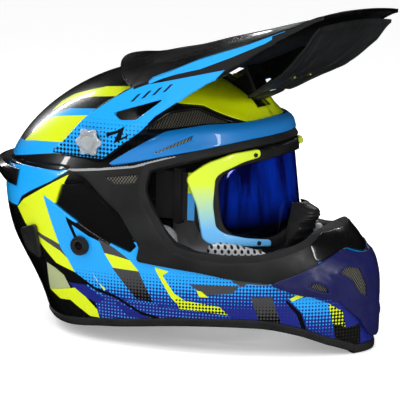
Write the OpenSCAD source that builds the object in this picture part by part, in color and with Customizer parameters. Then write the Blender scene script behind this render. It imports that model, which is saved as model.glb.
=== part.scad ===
/* [Shell] */
// Height of the crown above the rest plane
crown_z = 233; // [230:0.5:234]
// Height at which the walls turn into the dome
dome_z = 120; // [118:1:122]
// Thickness of the composite outer shell
shell_t = 4; // [3.6:0.1:4]
// Depth of the inner face of the crown foam below the outside
foam_d = 26; // [22:1:28]
// Height of the rubber edge trim
trim_h = 8; // [7:0.5:8]

/* [Visor] */
// Wall thickness of the visor
visor_t = 2.6; // [2.2:0.1:2.8]
// Radius of the side screws' shafts
pivot_r = 4; // [3.5:0.1:4]
// Lowest tilt of the visor, in degrees
tilt_low = -2.5; // [-2.5:0.5:-1]
// Highest tilt of the visor, in degrees
tilt_high = 3.5; // [2:0.5:3.5]

/* [Goggles] */
// Half width of the goggle frame
gog_w = 85; // [82:1:85]
// Half height of the goggle frame
gog_h = 41; // [39:0.5:41]
// Thickness of the lens
lens_t = 2; // [1.5:0.1:2]

/* [Hidden] */

// Gap between neighbouring pieces of one body
gap = 0.4;
// Clearance of the hard pieces from the eye port, and between two panels
port_clear = 3;
panel_gap = 0.5;
// Power of a section behind the middle: slightly fuller than an ellipse
BACK = 2.1;
// Columns round the body and rows up its wall and its dome
COLS = 48;
WALL_ROWS = 9;
DOME_ROWS = 7;
STEP = 360 / COLS;
TOP_ROW = WALL_ROWS + DOME_ROWS;

// Body stations: height, front, rear, half width
STATIONS = [[0, 179, -112, 98], [14, 179, -122, 104], [30, 179, -127, 110], [48, 178, -136, 116],
    [66, 176, -148, 121], [82, 169, -158, 124], [100, 151, -164, 126], [120, 108, -167, 127]];
// Lower rim: angle from the front, height above the rest plane
RIM = [[0, 0], [14, 1], [27, 10], [36, 19], [46, 25], [64, 24], [84, 16], [110, 9],
    [138, 6], [165, 2], [180, 0]];
// X of the widest section, and of the crown
MID_X = -31;
CROWN_X = -26;

// Side outlines, as X and Z on the body
PORT = [[37, 102], [24, 122], [17, 140], [19, 157], [54, 167.5], [79, 173.5], [95, 176], [200, 176],
    [200, 106], [139, 104], [135, 96], [120, 89], [104, 85.5], [82, 84.5], [60, 87], [44, 92]];
BROW = [[-11, 157], [26, 183], [51, 188], [73, 188.5], [90, 192], [200, 194], [200, 180],
    [95, 180], [79, 177.5], [54, 171.5], [30, 166.4], [4, 160]];
BROW_SLOT = [[20, 167.5], [46, 181.5], [46, 177], [24, 167]];
FOREHEAD = [[24, 206], [33, 222], [60, 224], [92, 199], [92, 194.5], [73, 191], [42, 204.5]];
FOREHEAD_VENT = [[8, 185.5], [22, 200], [40, 203], [68, 191], [50, 190.5], [24, 186.5]];
SIDE_PANEL = [[-50, 150], [-20, 153.5], [8, 157.5], [30, 164], [54, 169.5], [79, 175.2], [95, 177.5],
    [110, 177.5], [136, 112], [137, 97], [142, 84.5], [146, 80.5], [135, 73.5], [117, 66], [86, 69.5],
    [64, 74], [41, 77], [14, 80.5], [17, 93], [0, 120.5], [-31, 145.5]];
SIDE_SLOT = [[-16, 147.5], [14, 151.5], [12, 144], [-4, 142]];
SCOOP = [[-63, 119], [-57, 138], [-33, 143], [-2, 118], [15, 92], [8, 85], [-10, 92]];
BELT = [[-220, 149], [-100, 150], [-60, 153], [-48, 150.5], [-60, 147], [-220, 142.5]];
REAR_VENT = [[-106, 91], [-84, 99], [-80, 70], [-99, 74]];
MOUTH = [[116, 65], [135, 73], [147, 80], [158, 89], [168, 82.5], [200, 79], [200, 12], [178, 14],
    [173, 31], [161, 49], [149, 54], [136, 56]];
MOUTH_SLOT = [[158, 72], [162, 77], [169, 74], [174, 61], [175, 48], [171, 53], [166, 65]];
SMALL_SLOT = [[139, 63], [145, 66.5], [152, 62.5], [154, 56.5], [147, 58]];
COVER = [[142, 84.5], [137, 97], [136, 112], [200, 112], [200, 80.6], [168.6, 84.1], [158.2, 90.8],
    [146.5, 82.2]];
CROWN_ZONE = [[-220, 34], [-112, 34], [-98, 70], [12, 98], [12, 160], [54, 171], [96, 180],
    [220, 180], [220, 300], [-220, 300]];
PAD_ZONE = [[-220, 78], [-100, 78], [10, 106], [10, 164], [54, 176], [220, 186],
    [220, 300], [-220, 300]];
CHIN_ZONE = [[44, 36], [90, 38], [220, 24], [220, 92], [138, 92], [121, 84.5], [104, 81], [82, 80.5],
    [60, 83], [46, 87.5]];
CHEEK_ZONE = [[-60, 34], [38, 40], [38, 90], [8, 92], [-60, 75]];
JAW_ZONE = [[66, 68], [110, 66], [110, 84], [90, 85.5], [72, 88], [66, 89]];

// Visor: X, height of the ridge, height of the shoulder
ROOF = [[-52, 240, 205], [-30, 242, 210], [6, 249, 222], [27, 253, 231], [60, 261, 245.5],
    [97, 269.5, 258.5], [130, 278.5, 272], [157, 287, 284]];
WING_TOP = [[-65, 166], [-35, 195], [-9, 213], [6, 222], [27, 231], [60, 245.5],
    [97, 258.5], [130, 272], [157, 284]];
WING_FOOT = [[-65, 163.5], [-40, 162], [-18, 162], [14, 187], [26, 199.5], [62, 224.5],
    [83, 237], [119, 260], [132, 269], [157, 281.5]];
WING_CUT = [[-11, 199], [-9, 201], [30, 213.5], [32, 212.5], [10, 195], [-5, 194]];
// Duct under the visor: X, half width, height
DUCT = [[76, 46, 214], [96, 60, 225], [109, 69, 232], [121, 78, 240], [141, 88, 259],
    [153, 90, 275]];
// Tilt axis of the visor, and the angle of its centre screw above the horizontal
PIVOT = [-30, 175];
SCREW_ANGLE = 25;
bracket_r = 104;
tongue_gap = 0.4;
// Play of the centre screw at the low end of the tongue's slot, in degrees
slot_play = 0.6;

// Shell plug and goggle surface
PLUG = [-36, 88];
PLUG_Y = 125;
GOG_Z = 126.2;
gog_x = 104;

function cr(a, b, c, d, t) = 0.5 * (2 * b + (c - a) * t + (2 * a - 5 * b + 4 * c - d) * t * t
    + (3 * b - a - 3 * c + d) * t * t * t);
function clampi(T, k) = T[max(0, min(len(T) - 1, k))];
function seg(T, x) = max(0, min(len(T) - 2, len([for (r = T) if (r[0] < x) 1]) - 1));
function curve(T, x) = let(k = seg(T, x), t = (x - T[k][0]) / (T[k + 1][0] - T[k][0]))
    cr(clampi(T, k - 1), T[k], T[k + 1], clampi(T, k + 2), max(0, min(1, t)));
function fold(phi) = let(p = phi - 360 * floor(phi / 360)) p > 180 ? 360 - p : p;
function rim(phi) = curve(RIM, fold(phi))[1];
function spow(v, p) = sign(v) * pow(abs(v), p);

// A point of one horizontal section
function section(z, front, rear, w, xm, n_front, phi) = let(c = cos(phi),
    n = c > 0 ? n_front : BACK, a = c > 0 ? front - xm : xm - rear)
    [xm + a * spow(c, 2 / n), w * spow(sin(phi), 2 / n), z];
// Power of a section in front: below 2 the chin comes to a point, above 2 it is blunt
function nose_power(z) = 1.75 + 0.35 * max(0, min(1, (z - 90) / 40));
function wall_at(z, phi) = let(r = curve(STATIONS, z))
    section(z, r[1], r[2], r[3], MID_X, nose_power(z), phi);
function dome_at(t, phi) = let(c = max(0, cos(90 * t)), top = STATIONS[len(STATIONS) - 1])
    section(dome_z + (crown_z - dome_z) * sin(90 * t), CROWN_X + (top[1] - CROWN_X) * pow(c, 0.92),
        CROWN_X + (top[2] - CROWN_X) * (0.8 * c + 0.2 * c * c * c), top[3] * pow(c, 0.92),
        MID_X + (CROWN_X - MID_X) * t, BACK, phi);
// Body surface: s runs 0 to 1 up the wall and 1 to 2 over the dome
function foot(phi) = rim(phi) + trim_h + 0.3;
function body(s, phi) = s <= 1 ? wall_at(foot(phi) + (dome_z - foot(phi)) * s, phi)
    : dome_at(s - 1, phi);
function unit(v) = v / norm(v);
function normal(s, phi) = s > 1.97 ? [0, 0, 1] :
    unit(cross(body(s, phi + 1) - body(s, phi - 1), body(s + 0.02, phi) - body(s - 0.02, phi)));
// A point at depth d below the surface, or above it where d is negative
function skin(s, phi, d) = body(s, phi) - d * normal(s, phi);
function row_s(i) = i <= WALL_ROWS ? i / WALL_ROWS : 1 + (i - WALL_ROWS) / DOME_ROWS;
function s_of(z) = 1 + asin((z - dome_z) / (crown_z - dome_z)) / 90;
// Half width of the body at an X and a height
function side_y(x, z) = let(up = z > dome_z, t = up ? s_of(z) - 1 : 0, r = curve(STATIONS, min(z, dome_z)),
    c = cos(90 * t), front = up ? CROWN_X + (r[1] - CROWN_X) * pow(c, 0.92) : r[1],
    rear = up ? CROWN_X + (r[2] - CROWN_X) * (0.8 * c + 0.2 * c * c * c) : r[2],
    w = up ? r[3] * pow(c, 0.92) : r[3], xm = MID_X + (CROWN_X - MID_X) * t,
    n = x > xm ? nose_power(z) : BACK,
    a = x > xm ? front - xm : xm - rear)
    w * pow(max(0, 1 - pow(min(1, abs(x - xm) / a), n)), 1 / n);

function flat(grid) = [for (r = grid) for (p = r) p];
// Triangles of a grid, clockwise from its outer side; base is the index of its first point
function tris(rows, cols, base, wrap, flip) = [for (i = [0 : rows - 2]) for (j = [0 : cols - (wrap ? 1 : 2)])
    let(k = (j + 1) % cols, a = base + i * cols + j, b = a + cols, c = base + (i + 1) * cols + k,
        d = base + i * cols + k)
    each flip ? [[a, c, b], [a, d, c]] : [[a, b, c], [a, c, d]]];
// A closed solid between two grids of points
module slab(outer, inner, wrap = false) {
    rows = len(outer);
    cols = len(outer[0]);
    n = rows * cols;
    last = (rows - 1) * cols;
    polyhedron(concat(flat(outer), flat(inner)), concat(
        tris(rows, cols, 0, wrap, false), tris(rows, cols, n, wrap, true),
        [for (j = [0 : cols - (wrap ? 1 : 2)]) let(k = (j + 1) % cols)
            each [[j, k, n + k], [j, n + k, n + j],
                [last + k, last + j, n + last + j], [last + k, n + last + j, n + last + k]]],
        wrap ? [] : [for (i = [0 : rows - 2]) let(a = i * cols, b = a + cols, c = a + cols - 1, d = b + cols - 1)
            each [[b, a, n + a], [b, n + a, n + b], [c, d, n + d], [c, n + d, n + c]]]), 10);
}
// The whole body between two depths, closed over the crown
module layer(d0, d1) {
    rows = TOP_ROW;
    n = rows * COLS;
    top = n - COLS;
    outer = [for (i = [0 : rows - 1]) [for (j = [0 : COLS - 1]) skin(row_s(i), j * STEP, d0)]];
    inner = [for (i = [0 : rows - 1]) [for (j = [0 : COLS - 1]) skin(row_s(i), j * STEP, d1)]];
    polyhedron(concat(flat(outer), flat(inner), [skin(2, 0, d0), skin(2, 0, d1)]), concat(
        tris(rows, COLS, 0, true, false), tris(rows, COLS, n, true, true),
        [for (j = [0 : COLS - 1]) let(k = (j + 1) % COLS)
            each [[j, k, n + k], [j, n + k, n + j],
                [top + k, top + j, 2 * n], [n + top + j, n + top + k, 2 * n + 1]]]), 10);
}
// A side outline drawn out along Y: right is -1, left is 1, both is 0
module prism(outline, side = 0, grow = 0) {
    mirror([0, side > 0 ? 1 : 0, 0]) rotate([90, 0, 0])
        linear_extrude(side == 0 ? 500 : 250, center = side == 0) offset(delta = grow) polygon(outline);
}
// A piece of one layer inside an outline
module panel(d0, d1, outline, side = 0, grow = 0) {
    intersection() {
        layer(d0, d1);
        prism(outline, side, grow);
    }
}
// Joins curved pieces into one mesh
module mesh() { resize([0, 0, 0]) children(); }

module outer_shell() { color("deepskyblue") mesh() difference() {
    layer(0, shell_t);
    prism(PORT, 0, port_clear);
    prism(SCOOP);
    prism(BELT);
    prism(FOREHEAD_VENT);
    for (y = [-1, 1]) translate([PLUG[0], y * PLUG_Y, PLUG[1]]) rotate([90, 0, 0])
        cylinder(r = 8.4, h = 20, center = true, $fn = 32);
    for (y = [-1, 1]) translate([PIVOT[0], y * 112, PIVOT[1]]) rotate([90, 0, 0])
        cylinder(r = pivot_r + 0.6, h = 20, center = true, $fn = 32);
} }
module crown_foam() { color("dimgray") mesh()
    panel(shell_t + gap, foam_d, CROWN_ZONE); }
module chin_foam() { color("dimgray") mesh()
    panel(shell_t + gap, 18, CHIN_ZONE); }
module crown_pad() { color("gray") mesh()
    panel(foam_d + gap, foam_d + 9, PAD_ZONE); }
module neck_roll() { color("black") mesh() intersection() {
    layer(foam_d + gap, foam_d + 17);
    translate([-200, -200, 40]) cube([110, 400, 34]);
} }
module cheek_pad(side) { color("darkslategray") mesh()
    panel(shell_t + gap + 0.6, 38, CHEEK_ZONE, side); }
module jaw_pad(side) { color("silver") mesh()
    panel(19, 27, JAW_ZONE, side); }

// The rubber edge between two angles, flat underneath where it rests
module edge_trim(side) {
    angles = [for (k = [0 : 24]) side * (15.6 + k * 144.2 / 24)];
    list = side < 0 ? [for (k = [24 : -1 : 0]) angles[k]] : angles;
    color("black") slab(
        [for (h = [0, trim_h]) [for (a = list) edge_at(rim(a) + h, a, -1.6)]],
        [for (h = [0, trim_h]) [for (a = list) edge_at(rim(a) + h, a, 9)]]);
}
// A point of the edge, moved in or out level
function edge_at(z, phi, d) = let(p = wall_at(z, phi), q = wall_at(z, phi + 1) - wall_at(z, phi - 1),
    n = unit([q[1], -q[0], 0])) p - d * n;
// A straight-sided strip of the edge, flat underneath, about one angle
module flat_trim(mid, half) {
    angles = [for (k = [-8 : 8]) mid + k * half / 8];
    ring = concat([for (a = angles) edge_at(4, a, -1.6)],
        [for (k = [len(angles) - 1 : -1 : 0]) edge_at(4, angles[k], 9)]);
    color("black") linear_extrude(trim_h) polygon([for (p = ring) [p[0], p[1]]]);
}
module eye_port_trim() { color("black") mesh() intersection() {
    layer(-1.8, 9);
    rotate([90, 0, 0]) linear_extrude(500, center = true) difference() {
        offset(delta = 2.6) polygon(PORT);
        offset(delta = -1.6) polygon(PORT);
    }
} }

module brow_band() { color("royalblue") mesh() difference() {
    panel(-5.5, -gap, BROW);
    prism(BROW_SLOT);
} }
module brow_vent_mesh() { color("dimgray") mesh()
    panel(-2.6, -gap, BROW_SLOT, 0, -gap); }
module forehead_fairing() { color("yellowgreen") mesh() difference() {
    panel(-3.5, -gap, FOREHEAD);
    translate([38, -16, 190]) cube([67, 32, 60]);
} }
module forehead_mesh() { color("black") mesh()
    panel(2, shell_t - 0.3, FOREHEAD_VENT, 0, -gap); }
module side_panel(side) { color("dimgray") mesh() difference() {
    panel(-2, -gap, SIDE_PANEL, side);
    prism(PORT, 0, port_clear);
    prism(SIDE_SLOT);
    prism(MOUTH, 0, panel_gap);
    prism(COVER, 0, panel_gap);
} }
module side_mesh() { color("gray") mesh()
    panel(-1.4, -gap, SIDE_SLOT, 0, -gap); }
module scoop(side) { color("black") mesh()
    panel(2.2, shell_t - 0.1, SCOOP, side, -gap); }
module rear_belt() { color("black") mesh()
    panel(1.4, shell_t - 0.1, BELT, 0, -gap); }
// Spoiler round the back, thickest in the middle
module rear_spoiler() {
    phis = [for (k = [0 : 20]) 126 + k * 108 / 20];
    rows = [for (k = [0 : 4]) s_of(127 + k * 3.6)];
    color("black") slab(
        [for (i = [0 : 4]) [for (p = phis) skin(rows[i], p, -1.4 - 14 * pow(cos((p - 180) / 54 * 90), 0.8)
            * (i == 0 ? 0.15 : i == 1 ? 0.6 : i == 4 ? 0.55 : 1))]],
        [for (i = [0 : 4]) [for (p = phis) skin(rows[i], p, -gap)]]);
}
module rear_vents() { color("black") mesh() panel(-3, -gap, REAR_VENT); }

module mouthpiece() { color("navy") mesh() difference() {
    panel(-5.5, -gap, MOUTH);
    for (side = [-1, 1]) {
        intersection() {
            prism(MOUTH_SLOT, side);
            translate([0, side * 106, 60]) cube([500, 200, 200], center = true);
        }
        prism(SMALL_SLOT, side);
    }
} }
module mouthpiece_mesh() { color("dimgray") mesh() for (side = [-1, 1]) {
    intersection() {
        panel(-3, -gap, MOUTH_SLOT, side, -gap);
        translate([0, side * 106.5, 60]) cube([500, 200, 200], center = true);
    }
    panel(-3, -gap, SMALL_SLOT, side, -gap);
} }
module mouth_cover() { color("black") mesh() difference() {
    panel(-4, -gap, COVER);
    prism(PORT, 0, port_clear);
} }

module shell_plug(side) { color("black") translate([PLUG[0], side * PLUG_Y, PLUG[1]]) rotate([side * 90, 0, 0])
    difference() {
        translate([0, 0, -3]) cylinder(r = 8, h = 6, $fn = 48);
        translate([0, 0, -4]) cylinder(r = 3.55, h = 3.2, $fn = 48);
    } }
module plug_screw(side) { color("dimgray") translate([PLUG[0], side * PLUG_Y, PLUG[1]]) rotate([side * 90, 0, 0])
    difference() {
        translate([0, 0, -2.6]) cylinder(r = 3.5, h = 1.7, $fn = 48);
        translate([-2.6, -0.5, -3]) cube([5.2, 1, 1.1]);
    } }

function wing_y(x, z) = 122.5 - 0.12 * (z - 162) - 0.085 * max(0, x);
function lerp(a, b, t) = a + (b - a) * t;
function roof_at(u, v, drop) = let(x = lerp(-52 + 58 * v * v, 157 + 6 * (1 - v * v), u),
    r = curve(ROOF, x), arch = 1 - pow(abs(v), 2.4))
    [x, v * wing_y(x, r[2]), r[2] + (r[1] - r[2]) * arch - drop];
module wing(side) {
    xs = [for (k = [0 : 26]) lerp(-65, 146, k / 26)];
    rows = [for (t = [0, 1]) [for (x = xs) let(z = lerp(curve(WING_FOOT, x)[1], curve(WING_TOP, x)[1] - 0.8, t)) [x, z]]];
    mirror([0, side > 0 ? 1 : 0, 0]) difference() {
        slab([for (r = rows) [for (p = r) [p[0], 0.3 - wing_y(p[0], p[1]), p[1]]]],
            [for (r = rows) [for (p = r) [p[0], visor_t - wing_y(p[0], p[1]), p[1]]]]);
        prism(WING_CUT);
        translate([PIVOT[0], -120, PIVOT[1]]) rotate([90, 0, 0])
            cylinder(r = 9.2, h = 20, center = true, $fn = 40);
    }
}
module visor() { color("black") mesh() {
    slab([for (j = [0 : 14]) [for (i = [0 : 16]) roof_at(i / 16, -1 + j / 7, 0)]],
        [for (j = [0 : 14]) [for (i = [0 : 16]) roof_at(i / 16, -1 + j / 7, visor_t)]]);
    wing(-1);
    wing(1);
} }
function duct_at(u, v, drop) = let(x = lerp(76, 153, u), r = curve(DUCT, x))
    [x, v * r[1], r[2] + 3 * (1 - v * v) - drop];
// A wedge round the tilt axis between two radii, two angles and two sides
module wedge(r0, r1, a0, a1, half) {
    translate([PIVOT[0], half, PIVOT[1]]) rotate([90, 0, 0]) linear_extrude(2 * half)
        polygon(concat([for (k = [0 : 8]) let(a = lerp(a0, a1, k / 8)) [r0 * cos(a), r0 * sin(a)]],
            [for (k = [8 : -1 : 0]) let(a = lerp(a0, a1, k / 8)) [r1 * cos(a), r1 * sin(a)]]));
}
// Something placed along the centre screw's axis, with Z pointing outwards
module at_screw(a, r) {
    translate([PIVOT[0] + r * cos(a), 0, PIVOT[1] + r * sin(a)]) rotate([0, 90 - a, 0]) children();
}
module visor_duct() { color("dimgray") mesh() difference() {
    union() {
        slab([for (j = [0 : 8]) [for (i = [0 : 10]) duct_at(i / 10, -1 + j / 4, 0)]],
            [for (j = [0 : 8]) [for (i = [0 : 10]) duct_at(i / 10, -1 + j / 4, 3)]]);
        wedge(bracket_r + tongue_gap, bracket_r + tongue_gap + 3, SCREW_ANGLE - 7.5, SCREW_ANGLE + 9, 13);
        hull() {
            wedge(bracket_r + tongue_gap, bracket_r + tongue_gap + 3, SCREW_ANGLE - 8, SCREW_ANGLE - 7.4, 13);
            translate([77, -30, 211.5]) cube([3, 60, 3]);
        }
    }
    hull() for (a = [SCREW_ANGLE - tilt_high - slot_play, SCREW_ANGLE - tilt_low]) at_screw(a, bracket_r - 4)
        cylinder(r = 2.8, h = 14, $fn = 24);
} }
module visor_duct_screws() { color("gold") for (y = [-1, 1]) translate([103, y * 18, 231.7])
    rotate([0, -28, 0]) translate([0, 0, -5.2]) cylinder(r = 3, h = 2.2, $fn = 32); }
module visor_bush(side) { color("gray") translate([PIVOT[0], side * 117.4, PIVOT[1]]) rotate([side * -90, 0, 0])
    difference() {
        cylinder(r = 9, h = 4.9, $fn = 48);
        translate([0, 0, -1]) cylinder(r = pivot_r + 0.05, h = 8, $fn = 48);
    } }
module visor_bracket() { color("black") mesh() difference() {
    wedge(82, bracket_r, SCREW_ANGLE - 5, SCREW_ANGLE + 6, 11);
    layer(-0.3, 30);
    at_screw(SCREW_ANGLE, bracket_r - 16) cylinder(r = 2.6, h = 30, $fn = 24);
} }
module visor_centre_screw() { color("dimgray") {
    at_screw(SCREW_ANGLE, bracket_r - 6) cylinder(r = 2.5, h = 6 + tongue_gap * 2 + 3, $fn = 32);
    at_screw(SCREW_ANGLE, bracket_r + tongue_gap * 2 + 3) cylinder(r = 4, h = 2.4, $fn = 32);
} }
module visor_screw(side) { color("whitesmoke") translate([PIVOT[0], side * 110.2, PIVOT[1]])
    rotate([side * -90, 0, 0]) {
        cylinder(r = pivot_r, h = 12.4, $fn = 48);
        translate([0, 0, 12.4]) linear_extrude(3.4) {
            circle(r = 8.2, $fn = 48);
            for (k = [0 : 5]) rotate(k * 60) translate([8.6, 0]) circle(r = 3.4, $fn = 24);
        }
        translate([0, 0, 15.8]) cylinder(r = 5.6, h = 1.4, $fn = 48);
    } }

// A flat strap along a path, its width along one direction
module ribbon(path, across, w, t) {
    n = len(path);
    function along(i) = unit(path[min(n - 1, i + 1)] - path[max(0, i - 1)]);
    function edge(i, a, b) = path[i] + a * w / 2 * across + b * t / 2 * unit(cross(along(i), across));
    slab([for (a = [-1, 1]) [for (i = [0 : n - 1]) edge(i, a, 1)]],
        [for (a = [-1, 1]) [for (i = [0 : n - 1]) edge(i, a, -1)]]);
}
// Both chin straps hang from their rivets; the long one lies across the neck opening
STRAP_X = -76;
LONG = [[-97.5, 66], [-97.5, 56], [-92, 46], [-86, 37], [-77, 29.5], [-64, 25.5], [-46, 24], [-28, 24], [-10, 25],
    [8, 27], [24, 30]];
SHORT = [[97.5, 66], [97.5, 56], [92, 46], [86.5, 38], [80, 32], [73.5, 29.5]];
RING_Y = [71, 67];
RING_Z = 29.5;
wire_r = 1.6;
module chin_strap_long() { color("black")
    ribbon([for (p = LONG) [STRAP_X, p[0], p[1]]], [1, 0, 0], 22, 1.8); }
// The short strap ends in two sewn loops, one for each ring
module chin_strap_short() { color("black") difference() {
    union() {
        ribbon([for (p = SHORT) [STRAP_X, p[0], p[1]]], [1, 0, 0], 22, 1.8);
        for (y = RING_Y) translate([STRAP_X - 10, y, RING_Z]) rotate([0, 90, 0])
            cylinder(r = wire_r + 0.9, h = 20, $fn = 32);
    }
    for (y = RING_Y) translate([STRAP_X - 15, y, RING_Z]) rotate([0, 90, 0])
        cylinder(r = wire_r + 0.05, h = 30, $fn = 32);
} }
// A D ring: a straight bar along X and a half round bow below it
module d_ring(y) { color("silver") translate([STRAP_X, y, RING_Z]) {
    translate([-12, 0, 0]) rotate([0, 90, 0]) cylinder(r = wire_r, h = 24, $fn = 32);
    for (x = [-12, 12]) {
        translate([x, 0, 0]) sphere(r = wire_r, $fn = 32);
        translate([x, 0, -6]) cylinder(r = wire_r, h = 6, $fn = 32);
    }
    translate([0, 0, -6]) rotate([-90, 0, 0]) rotate_extrude(angle = 180, $fn = 64)
        translate([12, 0]) circle(r = wire_r, $fn = 32);
} }
module strap_rivets() { color("silver") for (s = [-1, 1]) translate([STRAP_X, s * 96.55, 61])
    rotate([s * 90, 0, 0]) cylinder(r = 4.5, h = 2, $fn = 32); }

// Goggle surface: X at a Y and a height
function gog_face(y, z) = gog_x - 0.0062 * y * y - 0.14 * (z - 132);
// Outline of the frame: nearly square corners, an arched brow and a notch for the nose
CORNER = 0.45;
brow_rise = 4.5;
nose_rise = 12;
function gog_rim(grow, a) = let(y = (gog_w + grow) * spow(cos(a), CORNER))
    [y, GOG_Z + (gog_h + grow) * spow(sin(a), CORNER)
        + (sin(a) < 0 ? nose_rise * exp(-y * y / 400) : brow_rise * exp(-y * y / 1500))];
module gog_ring(g0, g1, x0, x1) {
    angles = [for (k = [0 : 43]) k * 360 / 44];
    slab([for (g = [g1, g0]) [for (a = angles) let(p = gog_rim(g, a)) [gog_face(p[0], p[1]) + x1, p[0], p[1]]]],
        [for (g = [g1, g0]) [for (a = angles) let(p = gog_rim(g, a)) [gog_face(p[0], p[1]) + x0, p[0], p[1]]]],
        true);
}
// A curved plate that follows the goggle surface inside an outline of Y and height
module gog_plate(x0, x1, outline) {
    intersection() {
        slab([for (i = [0 : 4]) let(z = 85 + i * 25) [for (j = [0 : 20]) let(y = -95 + j * 9.5) [gog_face(y, z) + x1, y, z]]],
            [for (i = [0 : 4]) let(z = 85 + i * 25) [for (j = [0 : 20]) let(y = -95 + j * 9.5) [gog_face(y, z) + x0, y, z]]]);
        rotate([90, 0, 90]) linear_extrude(200) polygon(outline);
    }
}
module goggle_frame() { color("black") gog_ring(-9, 0, -14, 0); }
module goggle_lens() { color("mediumblue") mesh()
    gog_plate(-6, -6 + lens_t, [for (k = [0 : 43]) gog_rim(-9.4, k * 360 / 44)]); }
module goggle_foam() { color("dimgray") gog_ring(-12, -2, -26, -14.3); }
// Nose guard: height, front, half width
NOSE = [[84, 113, 27], [92, 119, 25], [100, 122, 22], [106, 124, 20], [110, 128, 17], [116, 125, 14],
    [121, 114, 11]];
module goggle_nose_guard() {
    angles = [for (k = [0 : 12]) -90 + k * 15];
    function at(r, a, t) = let(b = r[2] - t, x = gog_face(r[2], r[0]) + 0.4)
        [x + (r[1] - t - x) * cos(a), b * sin(a), r[0]];
    color("black") slab([for (r = NOSE) [for (a = angles) at(r, a, 0)]],
        [for (r = NOSE) [for (a = angles) at(r, a, 2)]]);
}
OUTRIGGER = [[40, 169.5], [66, 166.5], [83, 159.5], [95, 149], [90.5, 126], [89.5, 99], [85, 94.5], [62, 91.5],
    [44, 89.5], [44, 93], [62, 96], [77, 101], [82.5, 107], [83, 126], [80, 148], [76, 153],
    [60, 161], [40, 165.5]];
module outrigger(side) { color("yellowgreen") mesh()
    gog_plate(0.4, 4.4, [for (p = OUTRIGGER) [side * p[0], p[1]]]); }
module outrigger_pins() { color("black") for (s = [-1, 1]) for (p = [[52, 165.6], [56, 92.9]])
    translate([gog_face(p[0], p[1]) + 4.9, s * p[0], p[1]]) rotate([0, 90, s * 32])
        cylinder(r = 1.8, h = 1.2, $fn = 32); }
WEB = [[54.5, 87.2], [44, 87.5], [34, 88.2], [24, 88.6], [15, 88.5]];
module goggle_strap(side) { color("black")
    ribbon([for (p = WEB) [p[0], side * p[1], 132]], [0, 0, 1], 40, 2); }
module strap_slider(side) { color("black") translate([36, side * 88.1, 132]) rotate([0, 0, side * 4])
    difference() {
        cube([7, 6.6, 46], center = true);
        cube([9, 3.6, 41], center = true);
    } }

outer_shell();
crown_foam();
chin_foam();
crown_pad();
neck_roll();
cheek_pad(1);  // cheek_pad_left
cheek_pad(-1);  // cheek_pad_right
jaw_pad(1);  // jaw_pad_left
jaw_pad(-1);  // jaw_pad_right
edge_trim(1);  // edge_trim_left
edge_trim(-1);  // edge_trim_right
flat_trim(0, 15.4);  // chin_rest_trim
flat_trim(180, 20);  // nape_rest_trim
eye_port_trim();
brow_band();
brow_vent_mesh();
forehead_fairing();
forehead_mesh();
side_panel(1);  // side_panel_left
side_panel(-1);  // side_panel_right
side_mesh();
scoop(1);  // scoop_left
scoop(-1);  // scoop_right
rear_belt();
rear_spoiler();
rear_vents();
mouthpiece();
mouthpiece_mesh();
mouth_cover();
shell_plug(1);  // shell_plug_left
shell_plug(-1);  // shell_plug_right
plug_screw(1);  // plug_screw_left
plug_screw(-1);  // plug_screw_right
visor();
visor_duct();
visor_duct_screws();
visor_bush(1);  // visor_bush_left
visor_bush(-1);  // visor_bush_right
visor_bracket();
visor_centre_screw();
visor_screw(1);  // visor_screw_left
visor_screw(-1);  // visor_screw_right
chin_strap_long();
chin_strap_short();
d_ring(RING_Y[0]);  // d_ring_outer
d_ring(RING_Y[1]);  // d_ring_inner
strap_rivets();
goggle_frame();
goggle_lens();
goggle_foam();
goggle_nose_guard();
outrigger(1);  // outrigger_left
outrigger(-1);  // outrigger_right
outrigger_pins();
goggle_strap(1);  // goggle_strap_left
goggle_strap(-1);  // goggle_strap_right
strap_slider(1);  // strap_slider_left
strap_slider(-1);  // strap_slider_right
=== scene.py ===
"""The helmet's looks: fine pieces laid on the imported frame, their materials, the light and the camera."""
import math

import bmesh
import bpy
import numpy as np
from mathutils import Matrix, Vector
from mathutils.geometry import delaunay_2d_cdt


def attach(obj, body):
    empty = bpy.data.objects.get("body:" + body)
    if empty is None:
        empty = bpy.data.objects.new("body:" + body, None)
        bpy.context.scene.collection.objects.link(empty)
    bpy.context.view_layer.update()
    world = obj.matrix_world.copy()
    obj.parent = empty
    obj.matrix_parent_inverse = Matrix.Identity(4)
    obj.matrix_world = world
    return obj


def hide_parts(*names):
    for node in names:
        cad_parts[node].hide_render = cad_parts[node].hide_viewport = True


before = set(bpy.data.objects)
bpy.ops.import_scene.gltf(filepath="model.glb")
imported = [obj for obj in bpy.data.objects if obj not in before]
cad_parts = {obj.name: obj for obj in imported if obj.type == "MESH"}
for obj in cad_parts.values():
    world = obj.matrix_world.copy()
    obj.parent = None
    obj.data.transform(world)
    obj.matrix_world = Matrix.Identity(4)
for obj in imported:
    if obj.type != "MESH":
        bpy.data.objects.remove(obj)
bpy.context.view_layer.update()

# Body stations: height, front, rear, half width; and the rim: angle, height (all in mm and degrees)
STATIONS = [[0, 179, -112, 98], [14, 179, -122, 104], [30, 179, -127, 110], [48, 178, -136, 116],
    [66, 176, -148, 121], [82, 169, -158, 124], [100, 151, -164, 126], [120, 108, -167, 127]]
RIM = [[0, 0], [14, 1], [27, 10], [36, 19], [46, 25], [64, 24], [84, 16], [110, 9], [138, 6], [165, 2],
    [180, 0]]
MID_X, CROWN_X, DOME_Z, CROWN_Z = -31, -26, 120, 233
ARC = 177  # length of the dome's side in the flat domain
KU = 2.2  # domain length of one degree
HALF_TURN = 180 * KU
TOP = DOME_Z + ARC


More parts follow.
